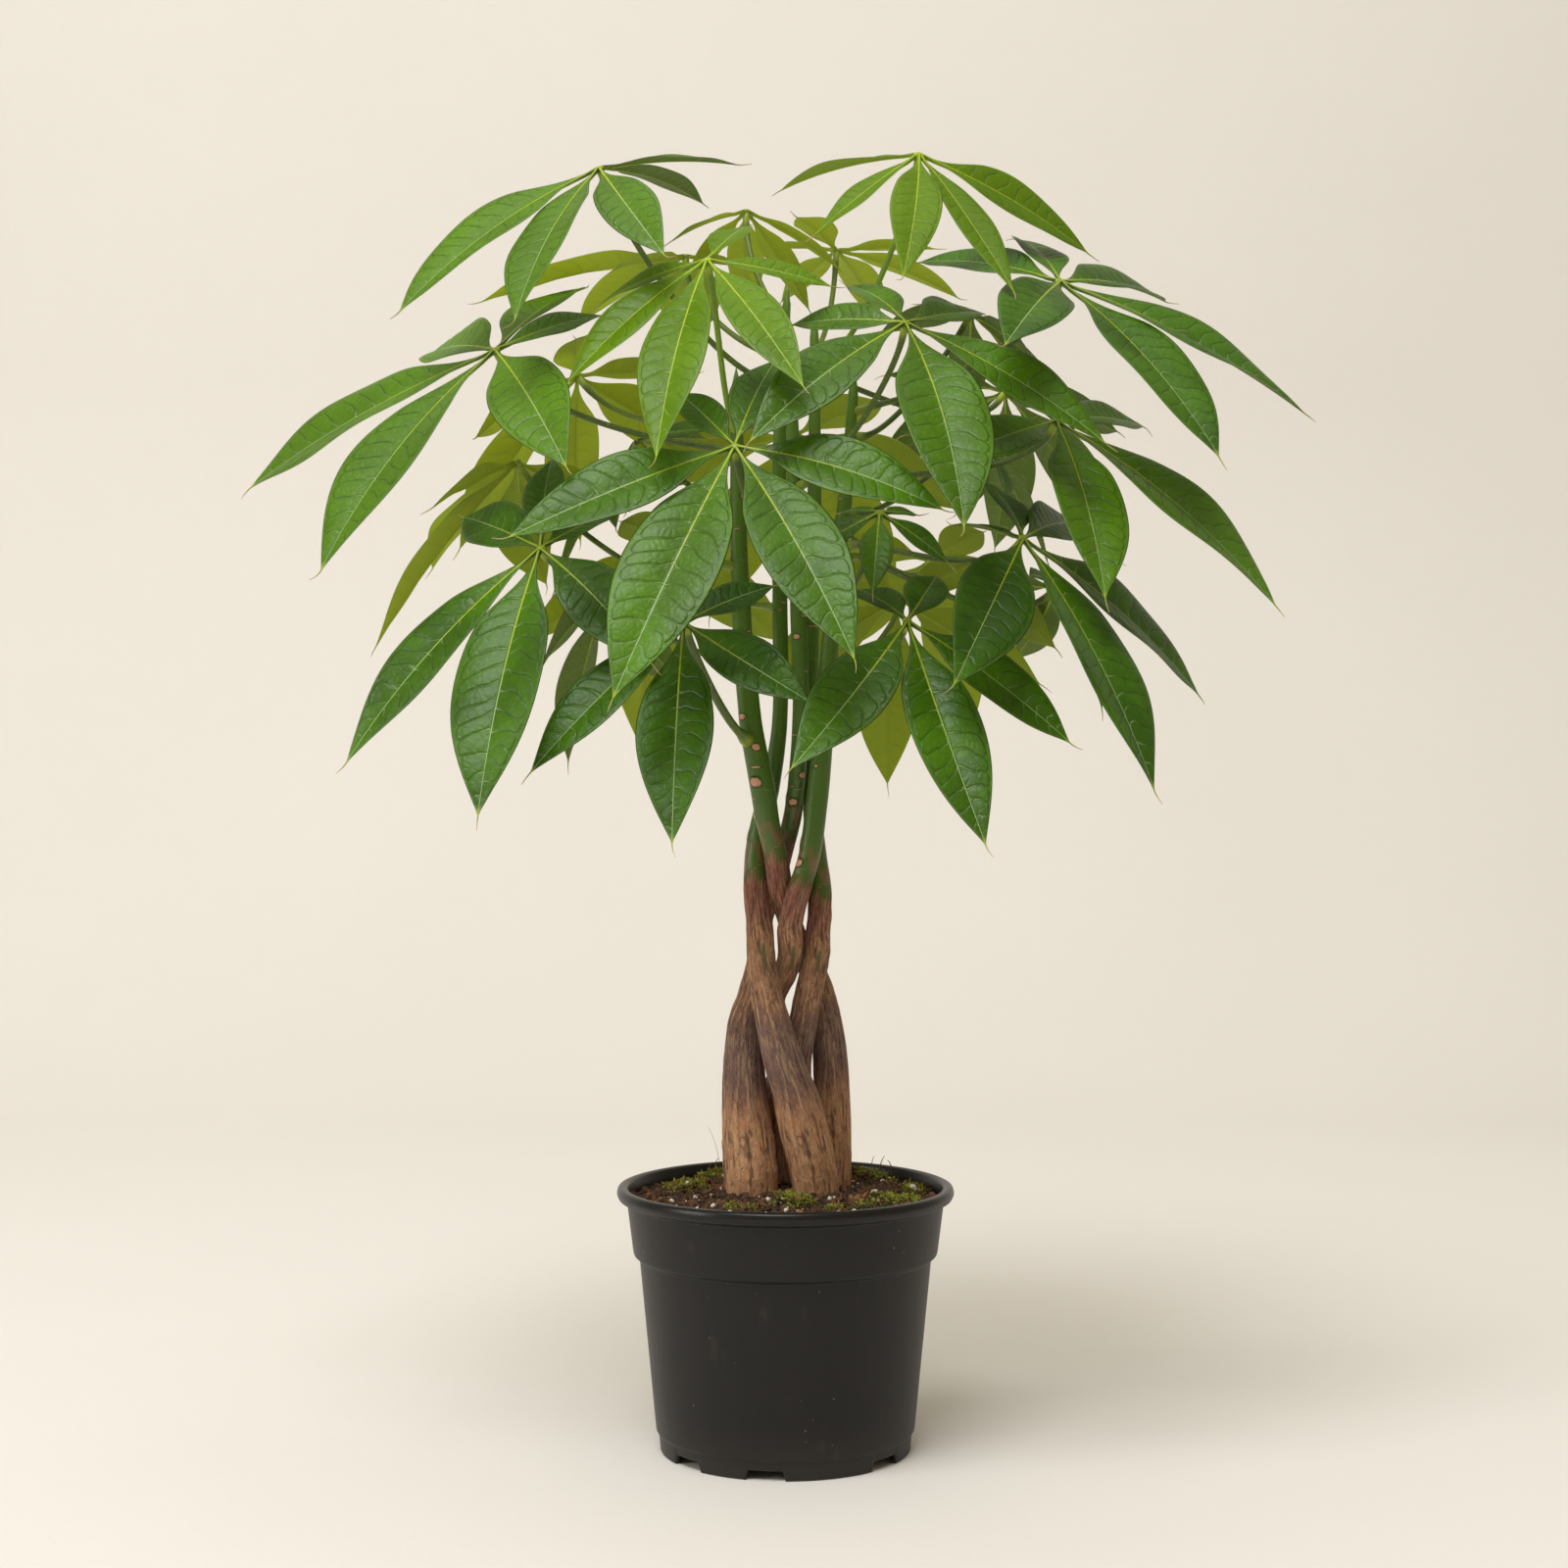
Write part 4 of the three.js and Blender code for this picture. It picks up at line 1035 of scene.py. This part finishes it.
def underFinish(name, look):
    sheet = Sheet(name)
    place = sheet.place()
    m = veinMasks(sheet)
    net = sheet.cells(place, 560.0)
    colour = sheet.coats(
        look["under"],
        (sheet.noise(place, 30.0, 4.0), look["underPale"]),
        # lower leaves get less of the paler underside: painted shade under the canopy, beside a random tone
        (m["shade"] * 0.5, look["underPale"]),
        ((m["line"] * 0.6).most(m["rib"]), look["rib"]),
        ((1 - net.rise(0.0, 0.16)) * 0.16, look["vein"]),
        (m["thread"], threadTan))
    height = m["line"] * 0.8 + m["rib"] * 0.4 - net.rise(0.0, 0.2) * 0.1
    return leafSkin(sheet, look, m, colour, 0.62, sheet.bump(height, 0.00035))


def stalkFinish(name, look):
    sheet = Sheet(name)
    place = sheet.place()
    _, t, _ = sheet.split(sheet.attribute("blade"))
    dots = sheet.noise(place, 700.0, 2.0).rise(0.6, 0.7)
    ends = (1 - t.rise(0.0, 0.07)).most(t.rise(0.88, 0.97) * 0.5)
    colour = sheet.coats(
        look["stalk"],
        (sheet.noise(place, 60.0, 3.0), look["stalkPale"]),
        (ends * 0.7, look["rib"]),
        (dots * 0.3, look["rib"]))
    normal = sheet.bump(sheet.noise(place, (300, 300, 60), 2.0), 0.0002)
    return sheet.finish(sheet.skin(colour, 0.45, normal))


threadTan = paint(196, 172, 124)
oldLook = {
    "deep": paint(44, 82, 1), "fresh": paint(76, 126, 4), "pale": paint(108, 152, 14),
    "creaseShade": paint(26, 48, 4), "vein": paint(166, 194, 128), "rib": paint(172, 190, 44),
    "outline": 0.8, "gloss": 0.36, "under": paint(88, 114, 44), "underPale": paint(112, 134, 58),
    "stalk": paint(58, 80, 20), "stalkPale": paint(92, 114, 34),
    "glow": (0.42, 0.62, 0.03, 1), "through": 0.14,
}
# leaves at the back are painted paler and yellower to stand for light coming through them: painted light,
# beside their stronger real translucency
backlitPaintedLook = {
    "deep": paint(70, 94, 8), "fresh": paint(98, 124, 16), "pale": paint(126, 148, 38),
    "creaseShade": paint(44, 62, 8), "vein": paint(144, 166, 80), "rib": paint(160, 178, 58),
    "outline": 0.3, "gloss": 0.42, "under": paint(114, 132, 42), "underPale": paint(134, 148, 60),
    "stalk": paint(76, 100, 22), "stalkPale": paint(106, 128, 36),
    "glow": (0.72, 0.82, 0.13, 1), "through": 0.52,
}
youngLook = {
    "deep": paint(90, 128, 2), "fresh": paint(118, 160, 4), "pale": paint(140, 180, 18),
    "creaseShade": paint(62, 96, 4), "vein": paint(184, 208, 100), "rib": paint(180, 202, 40),
    "outline": 0.1, "gloss": 0.36, "under": paint(120, 146, 34), "underPale": paint(140, 164, 54),
    "stalk": paint(100, 138, 20), "stalkPale": paint(132, 166, 36),
    "glow": (0.56, 0.74, 0.02, 1), "through": 0.34,
}
limeLook = {
    **youngLook,
    "deep": paint(70, 106, 1), "fresh": paint(94, 134, 3), "pale": paint(118, 156, 8),
    "creaseShade": paint(58, 84, 2), "vein": paint(176, 198, 80), "rib": paint(172, 192, 36),
    "gloss": 0.5, "glow": (0.56, 0.7, 0.01, 1),
}


def makeLeaves():
    looks = {"leaf": oldLook, "back_leaf": backlitPaintedLook, "lime_leaf": limeLook, "young_leaf": youngLook}
    finishes = {key: [upperFinish(key + "Upper", look), underFinish(key + "Under", look),
                      stalkFinish(key + "Stalk", look)] for key, look in looks.items()}
    for index, (stem, root, seenHub, *spread) in enumerate(leafRows + fannedRows):
        hub, number = seenPlace(seenHub), index + 1
        if len(spread) > 1:
            stations = blade["backStations"]
            leaflets = [(tip - hub, 1, 0) for tip in fannedTips(hub, *spread, index)]
        else:
            stations = blade["frontStations"]
            full = [tip + [1, 0][len(tip) - 3:] for tip in spread[0]]
            leaflets = [(seenPlace(tip) - hub, tip[3], tip[4]) for tip in full]
        axis, side, leaflets = leafFrame(hub, leaflets)
        kind = "young_leaf" if number in blade["young"] else "leaf"
        # the back-lit leaves take the finish with painted light
        look = "back_leaf" if number in blade["backLit"] else kind
        look = "lime_leaf" if number in blade["lime"] else look
        # each leaf has a random tone, and leaves lower in the crown are painted darker: painted shade under
        # the canopy, partly the darker tone of older leaves
        shade = (0.5 + 0.5 * draw(index, 91)) * (0.35 + 0.65 * float(smooth(hub[2], 400, 520)))
        shells = [leafletShell(hub, leaflet, axis, stations, index, i, shade)
                  for i, leaflet in enumerate(leaflets)]
        stout = stalk["stout"].get(number, 1)
        shells += [hubShell(hub, axis, side, shade), stalkShell(stem, root, stout, hub, axis, shade)]
        name = f"leaf_{number:02d}"
        makePiece(name + "_blades", shells, finishes[look], name)


makeLeaves()
print("leaves made")


# Soil

soil = {
    # the level of the soil by distance from the axis
    "distances": [0, 36, 60, 76, 78.7],
    "levels": [130.6, 130.2, 128.2, 127.0, 126.4],
    "trunkLevel": 131,
    "rings": 78,
    "segments": 216,
    "wall": [[78.6, 124], [75.6, 103], [72.2, 97], [64, 13], [62.4, 8.9], [24, 8.9], [19.4, 2.5], [4, 2.5]],
    # moss cushions: across, depth, half width, half depth, height
    "moss": [[-51, 6, 13, 15, 4.6], [3, -40, 12, 11, 4.4], [56, -24, 15, 12, 3.6],
             [47, 50, 15, 17, 5.2], [-39, 50, 9, 13, 4.2], [24, -46, 8, 5, 2.2], [-30, 42, 11, 9, 3.2],
             [-12, 62, 16, 8, 3.4], [66, 12, 6, 13, 2.8], [-22, -46, 11, 5, 1.8], [40, -36, 8, 6, 1.8]],
    "lumpWidths": [9, 2.4],
    "lumpHeights": [3.6, 1.9],
    "heap": 1.2,
    "heapReach": 7,
    # counts, and sizes as the least one and what chance may add to it
    "crumbs": 1700,
    "crumbSize": [0.45, 1.5],
    "chips": 420,
    "chipSize": [1.0, 1.7],
    "roots": 110,
    # single chips: across, depth, size, stretch, tint
    "singleChips": [[36, -21, 3.6, [1.1, 0.7, 0.4], 1], [40, -15, 3.0, [0.7, 1.1, 0.5], 1],
                    [33, -26, 2.6, [1.2, 0.6, 0.4], 0.8], [38, -24, 2.2, [0.8, 0.9, 0.6], 0.9]],
    "perlite": 120,
    "grainSize": [0.45, 1.2],
    # single grains: across, depth, size
    "singleGrains": [[26, -54, 1.8], [33.5, -50, 1.4], [-57, -20, 1.6], [-44, 34, 1.3],
                     [45, -6, 2.7], [65, 4, 2.5], [22, -30, 1.3]],
    "shoots": 6000,
    "shootLean": 0.7,
    "shootLength": [1.2, 2.6],
    "shootWidth": [0.28, 0.22],
    # stray fibres and sprigs, each an arc through three places, and its radius
    "fibres": [[[-33, 24, 131], [-35, 24, 152], [-40.5, 24, 160], 0.11],
               [[-37, 40, 128], [-38, 40, 138], [-35.5, 40, 141], 0.3],
               [[-40, 42, 128], [-41.5, 42, 136], [-39, 42, 138], 0.25],
               [[50, 58, 127], [50, 58, 136], [53, 58, 139.5], 0.32],
               [[56, 56, 127], [58, 56, 134], [54.5, 56, 137.5], 0.34],
               [[47, 60, 127], [45, 60, 135], [47.5, 60, 139], 0.26],
               [[60, -2, 127], [66, -4, 134], [71, -6, 136], 0.22]],
}
chance = np.random.default_rng(17)


def mossCover(x, y):  # from 0 to 1 over each cushion, with a ragged edge
    cover = np.zeros(np.broadcast(x, y).shape)
    rise = np.zeros_like(cover)
    for across, depth, wide, deep, high in soil["moss"]:
        far = np.hypot((x - across) / wide, (y - depth) / deep)
        far = far + 0.9 * (roughness(x / 4.2, y / 4.2, 0, 40) - 0.5)
        clump = grain(x / 2.6, y / 2.6, 0, 44)
        share = 1 - smooth(far, 0.6, 1.05)
        cover = np.maximum(cover, share * (0.3 + 0.7 * smooth(clump, 0.3, 0.6)))
        rise = np.maximum(rise, share * high * (0.5 + clump))
    return cover, rise


def fromTrunk(x, y, rows):  # the distance from a trunk's bark at the level of the soil
    across, depth, radius = middleAt(rows, soil["trunkLevel"])
    return np.hypot(x - across, y - depth) - radius


def soilLevel(x, y):
    # a shallow dome, with lumps of two sizes, cushions of moss and soil heaped at the trunks
    level = np.interp(np.hypot(x, y), soil["distances"], soil["levels"])
    for wide, high, seed in zip(soil["lumpWidths"], soil["lumpHeights"], (21, 25)):
        level = level + high * (roughness(x / wide, y / wide, 0, seed) - 0.5)
    heap = np.zeros_like(level)
    for rows in trunkRows.values():
        far = fromTrunk(x, y, rows)
        heap = np.maximum(heap, soil["heap"] * (1 - smooth(far, 0, soil["heapReach"])))
    _, rise = mossCover(x, y)
    edge = smooth(np.hypot(x, y), 70, 78)
    return level + (heap + rise * 0.72) * (1 - edge)


def soilFinish():
    sheet = Sheet("pottingSoil")
    place = sheet.place()
    lumps = sheet.noise(place, 160.0, 5.0, 0.65)
    fine = sheet.noise(place, 900.0, 3.0, 0.6)
    tint, _, _ = sheet.split(sheet.attribute("tint"))
    colour = sheet.coats(
        paint(26, 17, 12),
        (lumps.rise(0.32, 0.7), paint(88, 62, 42)),
        (fine.rise(0.55, 0.75) * 0.5, paint(124, 92, 64)),
        (tint, paint(156, 110, 74)),
        (sheet.noise(place, 60.0, 2.0).rise(0.5, 0.7) * 0.45, paint(24, 16, 12)))
    return sheet.finish(sheet.skin(colour, 0.95, sheet.bump(lumps * 0.7 + fine * 0.5, 0.0014)))


def perliteFinish():
    sheet = Sheet("perliteGrain")
    place = sheet.place()
    pits = sheet.noise(place, 1100.0, 3.0)
    colour = sheet.coats(
        paint(214, 204, 188),
        (pits, paint(240, 234, 224)),
        (sheet.noise(place, 260.0, 3.0).rise(0.5, 0.7) * 0.5, paint(164, 140, 112)))
    return sheet.finish(sheet.skin(colour, 0.85, sheet.bump(pits, 0.0006)))


def mossFinish():
    sheet = Sheet("mossShoots")
    high, mixed, _ = sheet.split(sheet.attribute("tint"))
    patch = sheet.noise(sheet.place(), 130.0, 3.0)
    colour = sheet.coats(
        # dark at the foot of each shoot and bright at its tip: partly the shoots' own colour, partly
        # painted shade deep in the cushion
        paint(22, 26, 6),
        (high, paint(134, 146, 34)),
        (mixed * 0.8 * high, paint(172, 170, 60)),
        (patch.rise(0.48, 0.62) * 0.6, paint(100, 82, 38)))
    return sheet.finish(sheet.skin(colour, 0.8))


def makeSoil(finish):
    # rings out over the top, down the inside of the pot and back to the middle
    radius = np.linspace(0.8, soil["distances"][-1], soil["rings"])
    turn = fullTurn(soil["segments"])
    x, y = radius[:, None] * np.cos(turn), radius[:, None] * np.sin(turn)
    wall = np.array(soil["wall"])
    low = together(wall[:, :1] * np.cos(turn), wall[:, :1] * np.sin(turn), wall[:, 1:])
    rings = np.concatenate([together(x, y, soilLevel(x, y)), low])[::-1]
    middle = float(soilLevel(np.array(0.0), np.array(0.0)))
    shell = ringShell(rings, [0, 0, wall[-1, 1]], [0, 0, middle], {"tint": np.zeros(3)})
    makePiece("soil_bed", [shell], [finish], "soil")


def icosahedron():
    g = (1 + math.sqrt(5)) / 2
    points = np.array([[-1, g, 0], [1, g, 0], [-1, -g, 0], [1, -g, 0], [0, -1, g], [0, 1, g], [0, -1, -g],
                       [0, 1, -g], [g, 0, -1], [g, 0, 1], [-g, 0, -1], [-g, 0, 1]])
    faces = np.array([[0, 11, 5], [0, 5, 1], [0, 1, 7], [0, 7, 10], [0, 10, 11], [1, 5, 9], [5, 11, 4],
                      [11, 10, 2], [10, 7, 6], [7, 1, 8], [3, 9, 4], [3, 4, 2], [3, 2, 6], [3, 6, 8],
                      [3, 8, 9], [4, 9, 5], [2, 4, 11], [6, 2, 10], [8, 6, 7], [9, 8, 1]])
    return unit(points), faces


def spotsOnSoil(count, reach=76.5):  # random places on the soil that miss the trunks
    distance = reach * np.sqrt(chance.random(count * 2))
    turn = 2 * math.pi * chance.random(count * 2)
    x, y = distance * np.cos(turn), distance * np.sin(turn)
    free = np.ones(len(x), bool)
    for rows in trunkRows.values():
        free &= fromTrunk(x, y, rows) > 0.8
    return x[free][:count], y[free][:count]


def randomTurns(count):  # one random rotation matrix for each copy, from random unit quaternions
    q = unit(chance.normal(size=(count, 4)))
    w, x, y, z = q.T
    rows = [[1 - 2 * (y * y + z * z), 2 * (x * y - z * w), 2 * (x * z + y * w)],
            [2 * (x * y + z * w), 1 - 2 * (x * x + z * z), 2 * (y * z - x * w)],
            [2 * (x * z - y * w), 2 * (y * z + x * w), 1 - 2 * (x * x + y * y)]]
    return np.moveaxis(np.array(rows), -1, 0)


def lumps(x, y, sizes, stretch, jitter, sink, tints):
    # each copy is a ball of twenty faces with its corners pulled about, stretched and turned
    corners, faces = icosahedron()
    count = len(x)
    ball = corners * (1 + jitter * (chance.random((count, 12, 1)) * 2 - 1)) * sizes[:, None, None]
    ball = ball * stretch[:, None, :]
    ball = np.einsum("nij,nkj->nki", randomTurns(count), ball)
    middle = together(x, y, soilLevel(x, y) + sink * sizes)
    return bunch(ball + middle[:, None], faces, {"tint": together(tints, 0, 0)})


def rootShells(count):
    # thin threads: each is a shallow random arc over the soil
    x, y = spotsOnSoil(count, 70)
    t = np.linspace(0, 1, 9)[:, None]
    shells = []
    for k in range(len(x)):
        turn, bend = chance.random() * 2 * math.pi, (chance.random() - 0.5) * 1.6
        length = 4 + 10 * chance.random()
        swing = turn + bend * t
        path = np.concatenate([x[k] + length * (t - 0.5) * np.cos(swing),
                               y[k] + length * (t - 0.5) * np.sin(swing), 0 * t], 1)
        arch = 0.6 + 2.6 * chance.random() ** 3
        path[:, 2] = (soilLevel(path[:, 0], path[:, 1]) + soilLevel(x[k:k + 1], y[k:k + 1])) / 2
        path[:, 2] += arch * 4 * t[:, 0] * (1 - t[:, 0]) + 0.1
        tint = np.array([0.45 + 0.55 * chance.random(), 0, 0])
        shells.append(tubeShell(path, np.full(9, 0.12 + 0.16 * chance.random()), 4, {"tint": tint}))
    for *places, radius in soil["fibres"]:
        path = parabola(*np.array(places), t)
        shells.append(tubeShell(path, radius * (1.2 - 0.7 * t[:, 0]), 4, {"tint": np.array([0.5, 0, 0])}))
    return shells


def makeBits(finish):
    x, y = spotsOnSoil(soil["crumbs"])
    least, more = soil["crumbSize"]
    sizes = least + more * chance.random(len(x)) ** 3
    stretch = 0.6 + 0.8 * chance.random((len(x), 3))
    crumbs = lumps(x, y, sizes, stretch, 0.25, 0.1, 0.35 * chance.random(len(x)) ** 2)
    x, y = spotsOnSoil(soil["chips"])
    least, more = soil["chipSize"]
    sizes = least + more * chance.random(len(x))
    stretch = np.stack([0.9 + 1.1 * chance.random(len(x)), 0.6 + 0.4 * chance.random(len(x)),
                        0.25 + 0.2 * chance.random(len(x))], -1)
    tints = 0.05 + 0.85 * chance.random(len(x)) ** 2.5
    single = [np.array(column) for column in zip(*soil["singleChips"])]
    scattered = (x, y, sizes, stretch, tints)
    x, y, sizes, stretch, tints = (np.concatenate(pair) for pair in zip(scattered, single))
    chips = lumps(x, y, sizes, stretch, 0.25, 0.15, tints)
    makePiece("soil_bits", [crumbs, chips] + rootShells(soil["roots"]), [finish], flat=True)


def makePerlite():
    single = np.array(soil["singleGrains"])
    x, y = (np.concatenate(pair) for pair in zip(spotsOnSoil(soil["perlite"]), single.T))
    least, more = soil["grainSize"]
    sizes = least + more * chance.random(len(x)) ** 2
    sizes[-len(single):] = single[:, 2]
    stretch = 0.8 + 0.35 * chance.random((len(x), 3))
    grains = lumps(x, y, sizes, stretch, 0.14, 0.5, np.zeros(len(x)))
    makePiece("perlite", [grains], [perliteFinish()])


def makeMoss():
    # shoots: each a three-sided spike on a cushion, dark at its foot and bright at its tip, the dark foot
    # partly its own colour and partly painted shade deep in the cushion
    x, y = spotsOnSoil(soil["shoots"] * 6, 77)
    cover, _ = mossCover(x, y)
    kept = chance.random(len(x)) < cover
    x, y, cover = (values[kept][:soil["shoots"]] for values in (x, y, cover))
    count = len(x)
    lean = chance.normal(size=(count, 2)) * soil["shootLean"]
    heading = unit(np.concatenate([lean, np.ones((count, 1))], 1))
    side = unit(np.cross(heading, [0.2, 0.97, 0.1]))
    other = np.cross(heading, side)
    least, more = soil["shootLength"]
    length = (least + more * chance.random(count) ** 1.5) * (0.6 + 0.4 * cover)
    least, more = soil["shootWidth"]
    wide = least + more * chance.random(count)
    base = together(x, y, soilLevel(x, y) - 0.4)

    def ringAt(share, width, twist):
        turn = (fullTurn(3) + twist)[:, None]
        spin = side[:, None] * np.cos(turn) + other[:, None] * np.sin(turn)
        middle = base + heading * (length * share)[:, None]
        return middle[:, None] + spin * (wide * width)[:, None, None]

    tips = (base + heading * length[:, None])[:, None]
    points = np.concatenate([ringAt(0, 0.7, 0), ringAt(0.55, 1.5, 1.0), tips], 1)
    faces = np.array([[0, 2, 1], [0, 1, 4], [0, 4, 3], [1, 2, 5], [1, 5, 4], [2, 0, 3], [2, 3, 5],
                      [3, 4, 6], [4, 5, 6], [5, 3, 6]])
    shoots = bunch(points, faces)
    high = np.tile([0, 0, 0, 0.65, 0.65, 0.65, 1.0], count)
    mixed = np.repeat(chance.random(count), 7)
    shoots["data"]["tint"] = together(high, mixed, 0)
    makePiece("moss", [shoots], [mossFinish()], flat=True)


soilPaint = soilFinish()
makeSoil(soilPaint)
makeBits(soilPaint)
makePerlite()
makeMoss()
print("soil, crumbs, perlite and moss made")
